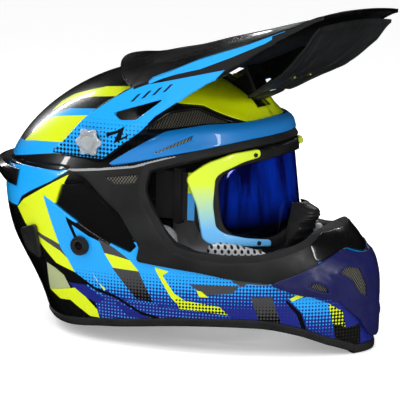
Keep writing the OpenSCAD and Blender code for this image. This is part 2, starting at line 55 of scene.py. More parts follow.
# ---------------------------------------------------------------- surfaces
def curve(table, x):
    """A smooth line through the rows of a table, by its first column."""
    table, x = np.asarray(table, float), np.asarray(x, float)
    k = np.clip(np.searchsorted(table[:, 0], x) - 1, 0, len(table) - 2)
    a, b, c, d = (table[np.clip(k + i, 0, len(table) - 1)] for i in (-1, 0, 1, 2))
    t = np.clip((x - b[..., 0]) / (c[..., 0] - b[..., 0]), 0, 1)[..., None]
    return 0.5 * (2 * b + (c - a) * t + (2 * a - 5 * b + 4 * c - d) * t**2
                  + (3 * b - a - 3 * c + d) * t**3)


def sections(v):
    """Height, front, rear, half width, widest x and front exponent at a height of the domain."""
    t = np.clip((v - DOME_Z) / ARC, 0, 1)
    c = np.clip(np.cos(t * math.pi / 2), 0, 1)
    z = np.where(v > DOME_Z, DOME_Z + (CROWN_Z - DOME_Z) * np.sin(t * math.pi / 2), v)
    r = curve(STATIONS, np.minimum(z, DOME_Z))
    front = CROWN_X + (r[..., 1] - CROWN_X) * c**0.92
    rear = CROWN_X + (r[..., 2] - CROWN_X) * (0.8 * c + 0.2 * c**3)
    power = 1.75 + 0.35 * np.clip((z - 90) / 40, 0, 1)
    return z, front, rear, r[..., 3] * c**0.92, MID_X + (CROWN_X - MID_X) * t, power


def spow(v, p):
    return np.sign(v) * np.abs(v)**p


def body(uv):
    z, front, rear, w, xm, power = sections(uv[:, 1])
    phi = np.radians(uv[:, 0] / KU)
    c, s = np.cos(phi), np.sin(phi)
    n = np.where(c > 0, power, 2.1)
    return np.stack([xm + np.where(c > 0, front - xm, xm - rear) * spow(c, 2 / n), w * spow(s, 2 / n), z], 1)


def unit(v):
    return v / np.maximum(np.linalg.norm(v, axis=-1, keepdims=True), 1e-12)


def normals_of(surface, uv, du=1.3, dv=1.5):
    a, b = np.array([du, 0]), np.array([0, dv])
    return unit(np.cross(surface(uv + a) - surface(uv - a), surface(uv + b) - surface(uv - b)))


def skin(uv):
    """Points and outward normals of the helmet's body."""
    p, n = body(uv), normals_of(body, uv)
    middle = (uv[:, 0] < 1e-6) | (uv[:, 0] > HALF_TURN - 1e-6)
    p[middle, 1] = 0
    n[middle, 1] = 0
    n[uv[:, 1] > TOP - 4] = (0, 0, 1)
    return p, unit(n)


def to_uv(xz):
    """Side view points, x and z, to the body's domain."""
    x, z = np.asarray(xz, float).T
    z = np.minimum(z, CROWN_Z)
    t = np.arcsin(np.clip((z - DOME_Z) / (CROWN_Z - DOME_Z), 0, 1)) / (math.pi / 2)
    v = np.where(z > DOME_Z, DOME_Z + ARC * t, z)
    _, front, rear, _, xm, power = sections(v)
    reach = np.where(x > xm, np.maximum(front - xm, 1e-6), np.maximum(xm - rear, 1e-6))
    e = np.clip((x - xm) / reach, -1, 1)
    c = spow(e, np.where(x > xm, power, 2.1) / 2)
    return np.stack([np.degrees(np.arccos(np.clip(c, -1, 1))) * KU, v], 1)


# ---------------------------------------------------------------- outlines
def rounded(points, radius):
    """Cuts each corner of a closed outline with a short curve."""
    pts = np.asarray(points, float)
    if not radius:
        return pts
    out = []
    for i, p in enumerate(pts):
        a, b = pts[i - 1] - p, pts[(i + 1) % len(pts)] - p
        la, lb = np.linalg.norm(a), np.linalg.norm(b)
        cut = min(radius, 0.45 * la, 0.45 * lb)
        a, b = p + a / la * cut, p + b / lb * cut
        out += [a * (1 - t)**2 + 2 * p * t * (1 - t) + b * t * t for t in (0, 0.25, 0.5, 0.75, 1)]
    return np.array(out)


def dense(points, step=2.5):
    pts = np.asarray(points, float)
    out = []
    for a, b in zip(pts, np.roll(pts, -1, 0)):
        n = max(1, int(math.ceil(np.linalg.norm(b - a) / step)))
        out += [a + (b - a) * k / n for k in range(n)]
    return np.array(out)


def grown(points, amount):
    """Offsets a closed outline outwards, or inwards where the amount is negative."""
    pts = np.asarray(points, float)
    nxt, prv = np.roll(pts, -1, 0), np.roll(pts, 1, 0)
    turn = np.sum(pts[:, 0] * nxt[:, 1] - nxt[:, 0] * pts[:, 1])
    e0, e1 = unit(pts - prv), unit(nxt - pts)
    side = 1 if turn > 0 else -1
    n0, n1 = (np.stack([e[:, 1], -e[:, 0]], 1) * side for e in (e0, e1))
    m = (n0 + n1) / np.maximum(1 + np.sum(n0 * n1, 1, keepdims=True), 0.35)
    return pts + m * amount


def tidy(loop):
    """Drops points that fall on their neighbour."""
    keep = np.linalg.norm(loop - np.roll(loop, 1, 0), axis=1) > 1e-3
    return loop[keep]


def on_body(points, grow=0.0, radius=0.0, step=2.5):
    return tidy(to_uv(dense(grown(rounded(points, radius), grow), step)))


def circle(cx, cz, r, n=32):
    return [[cx + r * math.cos(k * math.tau / n), cz + r * math.sin(k * math.tau / n)] for k in range(n)]


def inside(points, loop):
    x, y = points[:, :1], points[:, 1:]
    a, b = loop, np.roll(loop, -1, 0)
    up = (a[:, 1] > y) != (b[:, 1] > y)
    dy = np.where(np.abs(b[:, 1] - a[:, 1]) < 1e-12, 1e-12, b[:, 1] - a[:, 1])
    return (up & (x < (b[:, 0] - a[:, 0]) * (y - a[:, 1]) / dy + a[:, 0])).sum(1) % 2 == 1


def away(points, loops, gap):
    """The points that are further than gap from every outline."""
    keep = np.ones(len(points), bool)
    for loop in loops:
        for a, b in zip(loop, np.roll(loop, -1, 0)):
            d = b - a
            t = np.clip(((points - a) @ d) / max(d @ d, 1e-9), 0, 1)
            keep &= np.linalg.norm(points - a - t[:, None] * d, axis=1) > gap
    return points[keep]


# ---------------------------------------------------------------- solids
def plate(outline, d0, d1, surface=skin, spacing=4.0, holes=(), paint=(), r=0.6, relief=None, whole=False):
    """A closed solid over an outline of a surface's domain, from depth d0 to depth d1, with rounded edges.
    paint is a list of (outline, material index). whole mirrors it in the plane y = 0 and joins the halves."""
    loops = [outline, *holes, *[p for p, _ in paint]]
    low, high = outline.min(0), outline.max(0)
    rows = []
    for i, v in enumerate(np.arange(low[1] + spacing / 2, high[1], spacing * 0.87)):
        wide = 1.0
        if surface is skin and v > DOME_Z:
            wide = min(8.0, 1 / max(0.1, math.cos((v - DOME_Z) / ARC * math.pi / 2)))
        us = np.arange(low[0] + spacing * wide * (0.25 if i % 2 else 0.75), high[0], spacing * wide)
        rows.append(np.stack([us, np.full(len(us), v)], 1))
    grid = np.concatenate(rows) if rows else np.zeros((0, 2))
    grid = grid[inside(grid, outline)]
    grid = away(grid, loops, spacing * 0.42)
    verts, edges = [], []
    for loop in loops:
        n = len(verts)
        verts += list(loop)
        edges += [(n + k, n + (k + 1) % len(loop)) for k in range(len(loop))]
    verts += list(grid)
    got = delaunay_2d_cdt([Vector(v) for v in verts], edges, [], 0, 1e-4)
    uv, tri = np.array([tuple(v) for v in got[0]]), np.array(got[2])
    mid = uv[tri].mean(1)
    keep = inside(mid, outline)
    for h in holes:
        keep &= ~inside(mid, h)
    a, b, c = (uv[tri[:, k]] for k in range(3))
    area = (b[:, 0] - a[:, 0]) * (c[:, 1] - a[:, 1]) - (c[:, 0] - a[:, 0]) * (b[:, 1] - a[:, 1])
    keep &= np.abs(area) > 1e-5
    tri, mid, area = tri[keep], mid[keep], area[keep]
    tri[area < 0] = tri[area < 0][:, ::-1]
    used, tri = np.unique(tri, return_inverse=True)
    tri = tri.reshape(-1, 3)
    uv = uv[used]
    mats = np.zeros(len(tri), int)
    for loop, index in paint:
        mats[inside(mid, loop)] = index
    p, n = surface(uv)
    pa, pb, pc = (p[tri[:, k]] for k in range(3))
    if np.sum(np.cross(pb - pa, pc - pa) * n[tri[:, 0]]) < 0:
        tri = tri[:, ::-1]
    top = np.full(len(uv), float(d0)) if relief is None else d0 + relief(p, uv)
    return shell_of(p, n, tri, mats, top, d1, r, whole)


def shell_of(p, n, tri, mats, top, d1, r, whole):
    """Closes a patch of triangles into a solid with rounded edges."""
    m = len(p)
    outer, inner = p - n * top[:, None], p - n * d1
    edge = np.concatenate([tri[:, [0, 1]], tri[:, [1, 2]], tri[:, [2, 0]]])
    owner = np.tile(np.arange(len(tri)), 3)
    code, back = edge[:, 0] * m + edge[:, 1], edge[:, 1] * m + edge[:, 0]
    rim = ~np.isin(code, back)
    edge, owner = edge[rim], owner[rim]
    flat = np.abs(p[:, 1]) < 1e-5
    if whole:
        ok = ~(flat[edge[:, 0]] & flat[edge[:, 1]])
        edge, owner = edge[ok], owner[ok]
    ids = np.unique(edge)
    at = np.full(m, -1)
    at[ids] = np.arange(len(ids))
    out = np.zeros((m, 3))
    for k in (0, 1):
        d = unit(np.cross(p[edge[:, 1]] - p[edge[:, 0]], n[edge[:, k]]))
        np.add.at(out, edge[:, k], d)
    if whole:
        out[flat, 1] = 0
    length = np.linalg.norm(out, axis=1, keepdims=True)
    out = out / np.maximum(length, 1e-9) * np.clip(2 / np.maximum(length, 1e-9), 1, 1.4)
    out = out[ids]
    steps = [(r * math.sin(a), r * (1 - math.cos(a))) for a in np.radians([30, 60, 90])] if r else []
    depth = np.full(len(ids), float(d1))
    rings = [p[ids] - n[ids] * (top[ids] + d)[:, None] + out * s for s, d in steps]
    if r:
        rings.append(p[ids] - n[ids] * (depth - 0.3 * r)[:, None] + out * r)
        rings.append(p[ids] - n[ids] * depth[:, None] + out * 0.6 * r)
    verts = np.concatenate([outer, inner, *rings])
    faces = [tuple(t) for t in tri] + [tuple(t) for t in (tri + m)[:, ::-1]]
    kinds = list(mats) + [0] * len(tri)
    levels = [ids] + [2 * m + k * len(ids) + np.arange(len(ids)) for k in range(len(rings))] + [ids + m]
    for up, down in zip(levels[:-1], levels[1:]):
        for (i, j), o in zip(at[edge], owner):
            faces.append((up[j], up[i], down[i], down[j]))
            kinds.append(mats[o])
    return whole_of((verts, faces, kinds)) if whole else (verts, faces, kinds)


def mirrored(solid):
    verts, faces, kinds = solid
    return verts * np.array([1, -1, 1]), [tuple(f[::-1]) for f in faces], list(kinds)


def joined(*solids):
    verts, faces, kinds = [], [], []
    n = 0
    for v, f, k in solids:
        verts.append(v)
        faces += [tuple(i + n for i in q) for q in f]
        kinds += list(k)
        n += len(v)
    return np.concatenate(verts), faces, kinds


def whole_of(solid):
    """A half solid and its mirror image, sharing the points in the middle plane."""
    verts, faces, kinds = solid
    n = len(verts)
    middle = np.abs(verts[:, 1]) < 1e-5
    twin = np.arange(n) + n
    twin[middle] = np.arange(n)[middle]
    return (np.concatenate([verts, verts * np.array([1, -1, 1])]),
            faces + [tuple(int(twin[i]) for i in f[::-1]) for f in faces], list(kinds) + list(kinds))


def lattice(outer, inner, wrap=False):
    """A closed solid between two grids of points, of rows by columns."""
    outer, inner = np.asarray(outer, float), np.asarray(inner, float)
    rows, cols = outer.shape[:2]
    n = rows * cols
    faces = []
    span = cols if wrap else cols - 1
    for i in range(rows - 1):
        for j in range(span):
            k = (j + 1) % cols
            a, b, c, d = i * cols + j, i * cols + k, (i + 1) * cols + k, (i + 1) * cols + j
            faces += [(a, b, c, d), (n + d, n + c, n + b, n + a)]
    for j in range(span):
        k = (j + 1) % cols
        e = (rows - 1) * cols
        faces += [(k, j, n + j, n + k), (e + j, e + k, n + e + k, n + e + j)]
    if not wrap:
        for i in range(rows - 1):
            a, d = i * cols, (i + 1) * cols
            b, c = a + cols - 1, d + cols - 1
            faces += [(a, d, n + d, n + a), (c, b, n + b, n + c)]
    return np.concatenate([outer.reshape(-1, 3), inner.reshape(-1, 3)]), faces, [0] * len(faces)


def sweep(path, profile, across, closed=False, ends=True):
    """A profile (a, b) carried along a path: a runs along across, b along the path's other normal."""
    path, across = np.asarray(path, float), np.asarray(across, float)
    n = len(path)
    if closed:
        t = unit(np.roll(path, -1, 0) - np.roll(path, 1, 0))
    else:
        t = unit(np.gradient(path, axis=0))
    side = np.broadcast_to(across, path.shape)
    side = unit(side - t * np.sum(side * t, 1, keepdims=True))
    other = np.cross(t, side)
    prof = np.asarray(profile, float)
    verts = path[:, None] + side[:, None] * prof[None, :, :1] + other[:, None] * prof[None, :, 1:]
    verts = verts.reshape(-1, 3)
    m = len(prof)
    faces = []
    for i in range(n if closed else n - 1):
        for j in range(m):
            a, b = i * m + j, i * m + (j + 1) % m
            c, d = ((i + 1) % n) * m + (j + 1) % m, ((i + 1) % n) * m + j
            faces.append((a, b, c, d))
    if not closed and ends:
        faces += [tuple(range(m))[::-1], tuple(range((n - 1) * m, n * m))]
    return verts, faces, [0] * len(faces)


def lathe(profile, n=48, lobes=0, depth=0.0):
    """A turned solid about Z from (radius, height) pairs; lobes give a flower-shaped rim."""
    a = np.arange(n) * math.tau / n
    wave = 1 + depth * np.cos(lobes * a) if lobes else np.ones(n)
    verts, faces = [], []
    for r, z in profile:
        verts += [(r * w * math.cos(t), r * w * math.sin(t), z) for t, w in zip(a, wave)]
    m = len(profile)
    for i in range(m - 1):
        for j in range(n):
            k = (j + 1) % n
            faces.append((i * n + j, i * n + k, (i + 1) * n + k, (i + 1) * n + j))
    faces += [tuple(range(n))[::-1], tuple(range((m - 1) * n, m * n))]
    return np.array(verts), faces, [0] * len(faces)


def placed(solid, origin, axis):
    """Turns a solid made about Z to another axis and moves it."""
    turn = np.array(Vector((0, 0, 1)).rotation_difference(Vector(axis)).to_matrix())
    verts, faces, kinds = solid
    return verts @ turn.T + np.array(origin), faces, kinds


def pill(w, t, n=5):
    """A flat profile with rounded ends, w wide and t thick."""
    arc = np.linspace(-math.pi / 2, math.pi / 2, n)
    h = t / 2
    right = [(w / 2 - h + h * math.cos(a), h * math.sin(a)) for a in arc]
    return right + [(-x, -y) for x, y in right]


def make(name, solid, materials, body_name, nodes=(), sharp=34, bevel=0.0, levels=0):
    """The Blender object of a solid in mm, on a body, in place of CAD nodes."""
    verts, faces, kinds = solid
    mesh = bpy.data.meshes.new(name)
    metres = np.asarray(verts, float) / 1000
    mesh.from_pydata(metres.tolist(), [], [tuple(int(i) for i in f) for f in faces])
    mesh.polygons.foreach_set("material_index", np.asarray(kinds, np.int32))
    for m in materials if isinstance(materials, (list, tuple)) else [materials]:
        mesh.materials.append(m)
    bm = bmesh.new()
    bm.from_mesh(mesh)
    bmesh.ops.remove_doubles(bm, verts=bm.verts, dist=4e-6)
    bmesh.ops.recalc_face_normals(bm, faces=bm.faces)
    bm.to_mesh(mesh)
    bm.free()
    obj = bpy.data.objects.new(name, mesh)
    bpy.context.scene.collection.objects.link(obj)
    mesh.shade_smooth()
    if bevel:
        mod = obj.modifiers.new("edge", "BEVEL")
        mod.width, mod.segments = bevel / 1000, 2
        mod.limit_method, mod.angle_limit = "ANGLE", math.radians(40)
        mod.harden_normals = True
    if levels:
        mod = obj.modifiers.new("smooth", "SUBSURF")
        mod.levels = mod.render_levels = levels
    mesh.set_sharp_from_angle(angle=math.radians(sharp))
    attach(obj, body_name)
    if nodes:
        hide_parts(*nodes)
    return obj


# ---------------------------------------------------------------- materials
LIME, BLUE, NAVY = (0.62, 0.75, 0.0), (0.0, 0.33, 0.83), (0.006, 0.012, 0.19)
BLACK, GREY, PALE_BLUE = (0.0035, 0.0035, 0.004), (0.055, 0.055, 0.058), (0.05, 0.28, 0.72)


class Nodes:
    """A material's node tree, with short calls for its links."""

    def __init__(self, name, color, rough=0.4, metal=0.0, coat=0.0, spec=0.5, sheen=0.0):
        self.mat = bpy.data.materials.new(name)
        self.mat.use_nodes = True
        self.tree = self.mat.node_tree
        self.shader = self.tree.nodes["Principled BSDF"]
        s = self.shader.inputs
        s["Base Color"].default_value = (*color, 1)
        s["Roughness"].default_value = rough
        s["Metallic"].default_value = metal
        s["Coat Weight"].default_value = coat
        s["Coat Roughness"].default_value = 0.03
        s["Specular IOR Level"].default_value = spec
        s["Sheen Weight"].default_value = sheen
        s["Sheen Roughness"].default_value = 0.4
        coord = self.tree.nodes.new("ShaderNodeTexCoord")
        self.place = coord.outputs["Object"]
        self.mat.diffuse_color = (*color, 1)

    def node(self, kind, *links, **settings):
        n = self.tree.nodes.new("ShaderNode" + kind)
        for k, v in settings.items():
            setattr(n, k, v)
        for i, value in enumerate(links):
            self.feed(n.inputs[i], value)
        return n

    def feed(self, socket, value):
        if value is None:
            return
        if isinstance(value, bpy.types.NodeSocket):
            self.tree.links.new(value, socket)
        elif hasattr(socket.default_value, "__len__") and hasattr(value, "__len__"):
            socket.default_value = (*value, 1)[:len(socket.default_value)]
        else:
            socket.default_value = value

    def math(self, op, a, b=None, c=None):
        return self.node("Math", a, b, c, operation=op).outputs[0]

    def noise(self, scale, detail=3.0, rough=0.5, distort=0.0, where=None):
        n = self.node("TexNoise")
        self.feed(n.inputs["Vector"], where or self.place)
        values = {"Scale": scale, "Detail": detail, "Roughness": rough, "Distortion": distort}
        for key, value in values.items():
            n.inputs[key].default_value = value
        return n.outputs["Fac"]

    def cells(self, scale, feature="F1", where=None, spread=1.0):
        n = self.node("TexVoronoi", feature=feature)
        self.feed(n.inputs["Vector"], where or self.place)
        n.inputs["Scale"].default_value = scale
        n.inputs["Randomness"].default_value = spread
        return n.outputs["Distance"]

    def spread(self, value, a, b, c, d):
        n = self.node("MapRange")
        for i, v in enumerate((value, a, b, c, d)):
            self.feed(n.inputs[i], v)
        return n.outputs[0]

    def blend(self, fac, a, b):
        n = self.node("Mix", data_type="RGBA")
        self.feed(n.inputs[0], fac)
        self.feed(n.inputs[6], a)
        self.feed(n.inputs[7], b)
        return n.outputs[2]

    def axes(self):
        return self.node("SeparateXYZ", self.place).outputs

    def color(self, value):
        self.feed(self.shader.inputs["Base Color"], value)

    def rough(self, value):
        self.feed(self.shader.inputs["Roughness"], value)

    def bump(self, height, depth, strength=1.0):
        n = self.node("Bump")
        n.inputs["Strength"].default_value = strength
        n.inputs["Distance"].default_value = depth
        self.feed(n.inputs["Height"], height)
        self.tree.links.new(n.outputs[0], self.shader.inputs["Normal"])
        return n

    def shades(self, color, amount=0.12, scale=14.0):
        """The colour with a faint drift of light and dark."""
        dark, light = (tuple(c * (1 + s * amount) for c in color) for s in (-1, 1))
        return self.blend(self.noise(scale, 4), dark, light)


def lacquer(name, color, coat=1.0, rough=0.28):
    """Clear-coated paint: a faint drift of colour and a trace of orange peel."""
    m = Nodes(name, color, rough, coat=coat)
    m.color(m.shades(color, 0.04))
    m.rough(m.spread(m.noise(30, 2), 0.35, 0.7, rough - 0.02, rough + 0.03))
    m.bump(m.noise(120, 1), 0.000003, 0.2)
    return m.mat


def dots(m, pitch, level):
    """A halftone mask: small dots at a low level, joined at a high one."""
    x, y, z = m.axes()
    k = math.tau / pitch
    u = m.math("COSINE", m.math("MULTIPLY", m.math("MULTIPLY_ADD", m.math("ABSOLUTE", y), -0.45, x), k))
    v = m.math("COSINE", m.math("MULTIPLY", z, k))
    wave = m.math("MULTIPLY_ADD", m.math("ADD", u, v), -0.25, 0.5)
    return m.spread(m.math("SUBTRACT", level, wave), -0.03, 0.03, 0, 1)


def halftone(name, above, below, z0, z1, slope=0.0, pitch=0.003, top=1.0, floor=0.0):
    """Paint that turns from one colour to another in growing dots, downwards from z0 to z1 (mm)."""
    m = Nodes(name, above, 0.3, coat=1.0)
    x, _, z = m.axes()
    height = m.math("MULTIPLY_ADD", x, -slope, z)
    level = m.spread(height, z0 / 1000, z1 / 1000, floor, top)
    m.color(m.blend(dots(m, pitch, level), m.shades(above, 0.06), m.shades(below, 0.1)))
    m.bump(m.noise(120, 1), 0.000003, 0.2)
    return m.mat


def moulded(name, color, rough=0.5, grain=900.0, depth=0.00006, spec=0.4, wear=0.25):
    """Moulded plastic with a fine grain, duller and brighter patches."""
    m = Nodes(name, color, rough, spec=spec)
    cloud = m.noise(28, 5)
    m.color(m.blend(m.spread(cloud, 0.35, 0.7, 0, 1), tuple(c * (1 - wear) for c in color),
                    tuple(min(1, c * (1 + wear) + 0.002) for c in color)))
    m.rough(m.spread(m.noise(90, 3), 0.3, 0.7, rough - 0.07, rough + 0.09))
    m.bump(m.math("ADD", m.cells(grain), m.noise(grain * 1.7, 2)), depth, 0.7)
    return m.mat


def rubber(name, color=(0.012, 0.012, 0.013)):
    m = Nodes(name, color, 0.62, spec=0.35)
    m.color(m.blend(m.noise(60, 5), tuple(c * 0.6 for c in color), tuple(c * 1.7 for c in color)))
    m.rough(m.spread(m.noise(130, 3), 0.3, 0.7, 0.5, 0.72))
    m.bump(m.noise(700, 3), 0.00008, 0.6)
    return m.mat


def mesh_vent(name, strand, pitch=0.0021, gap=(0.002, 0.002, 0.002), rough=0.45, metal=0.0, hole=0.36):
    """A woven or perforated mesh: round holes in staggered rows, painted near black as painted shade of the
    hollow behind.
    """
    m = Nodes(name, strand, rough, metal)
    x, y, z = m.axes()
    u = m.math("SUBTRACT", x, m.math("ABSOLUTE", y))
    a = m.math("MULTIPLY", m.math("ADD", u, z), 0.7 / pitch)
    b = m.math("MULTIPLY", m.math("SUBTRACT", u, z), 0.7 / pitch)
    fa, fb = (m.math("SUBTRACT", m.math("FRACT", v), 0.5) for v in (a, b))
    far = m.math("SQRT", m.math("ADD", m.math("MULTIPLY", fa, fa), m.math("MULTIPLY", fb, fb)))
    solid = m.spread(far, hole - 0.05, hole + 0.03, 0, 1)
    # painted shade: the holes take the near-black gap colour of the shaded hollow behind the mesh
    m.color(m.blend(solid, gap, m.shades(strand, 0.3, 90)))
    m.rough(m.spread(solid, 0, 1, 0.9, rough))
    m.bump(solid, 0.0004, 1.0)
    return m.mat


def cloth(name, color, pitch=0.0011, sheen=0.3, rough=0.9, loop_shade=0.35):
    """Knitted lining: rows of small loops with a soft sheen, its colour darker between the loops and lighter
    on them as painted shade and painted highlight, with a random drift.
    """
    m = Nodes(name, color, rough, spec=0.2, sheen=sheen)
    x, y, z = m.axes()
    k = math.tau / pitch
    u = m.math("SINE", m.math("MULTIPLY", m.math("ADD", x, y), k))
    v = m.math("SINE", m.math("MULTIPLY_ADD", z, k, m.math("MULTIPLY", u, 0.8)))
    knit = m.spread(m.math("MULTIPLY", u, v), -1, 1, 0, 1)
    # painted shade between the loops and painted highlight on their tops, following the knit's relief
    dark, light = (tuple(c * s for c in color) for s in (1 - loop_shade, 1 + loop_shade))
    m.color(m.blend(m.math("MULTIPLY", knit, m.spread(m.noise(40, 4), 0.3, 0.7, 0.6, 1)), dark, light))
    m.bump(m.math("ADD", knit, m.math("MULTIPLY", m.noise(55, 3), 0.6)), 0.0003, 0.8)
    return m.mat


def webbing(name, color, along="x", pitch=0.0018):
    """Woven strap: a twill of diagonal ribs."""
    m = Nodes(name, color, 0.75, spec=0.25, sheen=0.25)
    x, y, z = m.axes()
    run, cross = (y, x) if along == "y" else (x, z)
    k = math.tau / pitch
    a = m.math("SINE", m.math("MULTIPLY", m.math("ADD", run, cross), k))
    b = m.math("SINE", m.math("MULTIPLY", m.math("SUBTRACT", run, cross), k))
    rib = m.spread(m.math("MAXIMUM", a, b), -1, 1, 0, 1)
    # painted shade in the grooves and painted highlight on the ribs: the colour follows the ribs' relief
    m.color(m.blend(rib, tuple(c * 0.5 for c in color), tuple(c * 1.6 for c in color)))
    m.bump(rib, 0.0003, 0.9)
    return m.mat


def metal(name, color, rough=0.25, scale=(60, 60, 900)):
    """Metal with fine turned or brushed lines."""
    m = Nodes(name, color, rough, 1.0)
    stretch = m.node("Mapping", m.place)
    stretch.inputs["Scale"].default_value = scale
    lines = m.noise(3, 4, where=stretch.outputs[0])
    m.color(m.blend(lines, tuple(c * 0.75 for c in color), tuple(min(1, c * 1.15) for c in color)))
    m.rough(m.spread(lines, 0.3, 0.7, rough - 0.06, rough + 0.12))
    m.bump(lines, 0.00003, 0.4)
    return m.mat


gloss_black = lacquer("gloss_black", (0.004, 0.004, 0.0045))
lime = lacquer("lime", LIME)
blue = lacquer("blue", BLUE)
navy_gloss = lacquer("navy_gloss", NAVY)
grey = lacquer("graphite", GREY, 0.6, 0.4)
blue_fade = halftone("blue_to_navy", BLUE, NAVY, 70, 36, 0.06, floor=0.02)
front_fade = halftone("front_blue_to_navy", BLUE, NAVY, 54, 22, floor=0.05, top=0.95)
grey_fade = halftone("grey_to_black", GREY, BLACK, 68, 38, 0.05)
grey_dots = halftone("grey_dots", GREY, BLACK, 50, 24)
lime_fade = halftone("lime_to_black", LIME, BLACK, 62, 34, floor=0.08, top=0.62)
black_dots = halftone("black_with_dots", BLACK, (0.03, 0.03, 0.02), 60, 10, floor=0.15, top=0.3)
navy_dots = halftone("navy_with_dots", NAVY, PALE_BLUE, 52, 18, floor=0.1, top=0.34)
pale = lacquer("pale_green", (0.36, 0.4, 0.2))
charcoal = moulded("charcoal", (0.012, 0.012, 0.0125), 0.42, 750, 0.00009, 0.5)
trim_rubber = rubber("trim_rubber")
foam_black = moulded("bead_foam", (0.028, 0.028, 0.03), 0.75, 330, 0.0003, 0.2)
liner = cloth("lining", (0.022, 0.022, 0.024))
grey_cloth = cloth("grey_lining", (0.3, 0.3, 0.31), 0.0013)
vent = mesh_vent("vent_mesh", (0.12, 0.115, 0.09), hole=0.42)
olive_vent = mesh_vent("brow_mesh", (0.19, 0.2, 0.15))
silver_mesh = mesh_vent("honeycomb", (0.5, 0.51, 0.53), 0.0052, (0.01, 0.01, 0.011), 0.35, 0.3, 0.33)
brow_blue = lacquer("brow_blue", (0.004, 0.17, 0.5), 0.6, 0.35)
navy_satin = moulded("navy_plastic", (0.007, 0.008, 0.075), 0.34, 1200, 0.00003, 0.5, 0.12)
underside = moulded("visor_underside", (0.017, 0.018, 0.019), 0.42, 800, 0.00006)
clear = Nodes("clear_knob", (0.86, 0.9, 0.92), 0.06, spec=0.6)
clear.shader.inputs["Transmission Weight"].default_value = 0.75
clear.rough(clear.spread(clear.noise(150, 3), 0.3, 0.7, 0.03, 0.16))
clear.bump(clear.noise(90, 2), 0.0002, 0.4)
clear = clear.mat
steel = metal("steel", (0.62, 0.63, 0.65), 0.18)
dark_steel = metal("dark_steel", (0.2, 0.2, 0.21), 0.32)
brass = metal("brass", (0.62, 0.55, 0.26), 0.3)
strap_web = webbing("strap_webbing", (0.018, 0.018, 0.02), "y")
frame_black = moulded("goggle_black", (0.012, 0.012, 0.013), 0.4, 1000, 0.00004)
edge_grey = moulded("edge_grey", (0.3, 0.3, 0.31), 0.35, 900, 0.00003, 0.5, 0.12)
visor_dots = halftone("visor_blue_to_black", BLUE, BLACK, 196, 158, pitch=0.0034, top=0.62)


def fade_paint():
    m = Nodes("outrigger_fade", LIME, 0.35, coat=0.5)
    z = m.axes()[2]
    t = m.spread(m.math("ADD", z, m.math("MULTIPLY", m.noise(60, 3), 0.004)), 0.108, 0.146, 0, 1)
    m.color(m.blend(t, (0.12, 0.42, 0.78), (0.6, 0.76, 0.02)))
    m.bump(m.noise(500, 2), 0.00002, 0.3)
    return m.mat


def mirror_paint():
    """Mirror coating: deep blue to violet, with painted reflections as bright blue upright streaks."""
    m = Nodes("mirror_lens", (0.01, 0.02, 0.3), 0.08, 0.75, coat=0.6, spec=0.6)
    y, z = m.axes()[1:]
    squash = m.node("Mapping", m.place)
    squash.inputs["Scale"].default_value = (1.0, 1.0, 0.16)
    streak = m.noise(42, 5, 0.65, 0.6, where=squash.outputs[0])
    wide = m.noise(15, 2, where=squash.outputs[0])
    # painted reflection: bright blue upright streaks where the stretched noise runs high
    reflection_streaks = m.spread(m.math("ADD", streak, m.math("MULTIPLY", wide, 0.7)), 0.86, 1.06, 0, 1)
    deep = m.blend(m.spread(y, -0.07, 0.05, 0, 1), (0.003, 0.006, 0.1), (0.016, 0.004, 0.13))
    tone = m.blend(reflection_streaks, deep, (0.006, 0.07, 1.0))
    m.color(m.blend(m.spread(z, 0.104, 0.128, 0, 1), (0.0015, 0.002, 0.012), tone))
    m.rough(m.spread(m.noise(30, 3), 0.3, 0.7, 0.05, 0.14))
    return m.mat


def strap_paint():
    m = Nodes("goggle_webbing", (0.012, 0.012, 0.013), 0.7, spec=0.25, sheen=0.2)
    x, _, z = m.axes()
    band = m.math("MULTIPLY", m.spread(x, 0.0438, 0.0442, 0, 1), m.spread(x, 0.0502, 0.0506, 1, 0))
    upper = m.spread(z, 0.1345, 0.1355, 0, 1)
    rib = m.math("SINE", m.math("MULTIPLY", m.math("ADD", z, x), math.tau / 0.0016))
    paint = m.blend(upper, (0.05, 0.3, 0.7), (0.5, 0.66, 0.0))
    # painted shade between the ribs: the dark webbing turns darker in the grooves and lighter on the ribs
    dark = m.blend(m.spread(rib, -1, 1, 0, 1), (0.006, 0.006, 0.007), (0.022, 0.022, 0.024))
    m.color(m.blend(band, dark, paint))
    m.bump(m.spread(rib, -1, 1, 0, 1), 0.0002, 0.8)
    return m.mat


outrigger_paint, mirror, goggle_web = fade_paint(), mirror_paint(), strap_paint()


# ---------------------------------------------------------------- side outlines and paint, as X and Z
PORT = [[37, 102], [24, 122], [17, 140], [19, 157], [54, 167.5], [79, 173.5], [95, 176], [200, 176],
    [200, 106], [139, 104], [135, 96], [120, 89], [104, 85.5], [82, 84.5], [60, 87], [44, 92]]
BROW = [[-11, 157], [26, 183], [51, 188], [73, 188.5], [90, 192], [200, 194], [200, 180],
        [95, 180], [79, 177.5], [54, 171.5], [30, 166.4], [4, 160]]
BROW_SLOT = [[20, 167.5], [46, 181.5], [46, 177], [24, 167]]
FOREHEAD = [[24, 206], [33, 222], [60, 224], [92, 199], [92, 194.5], [73, 191], [42, 204.5]]
FOREHEAD_VENT = [[8, 185.5], [22, 200], [40, 203], [68, 191], [50, 190.5], [24, 186.5]]
SIDE_PANEL = [[-50, 150], [-20, 153.5], [8, 157.5], [30, 164], [54, 169.5], [79, 175.2], [95, 177.5],
    [110, 177.5], [136, 112], [137, 97], [142, 84.5], [146, 80.5], [135, 73.5], [117, 66], [86, 69.5],
    [64, 74], [41, 77], [14, 80.5], [17, 93], [0, 120.5], [-31, 145.5]]
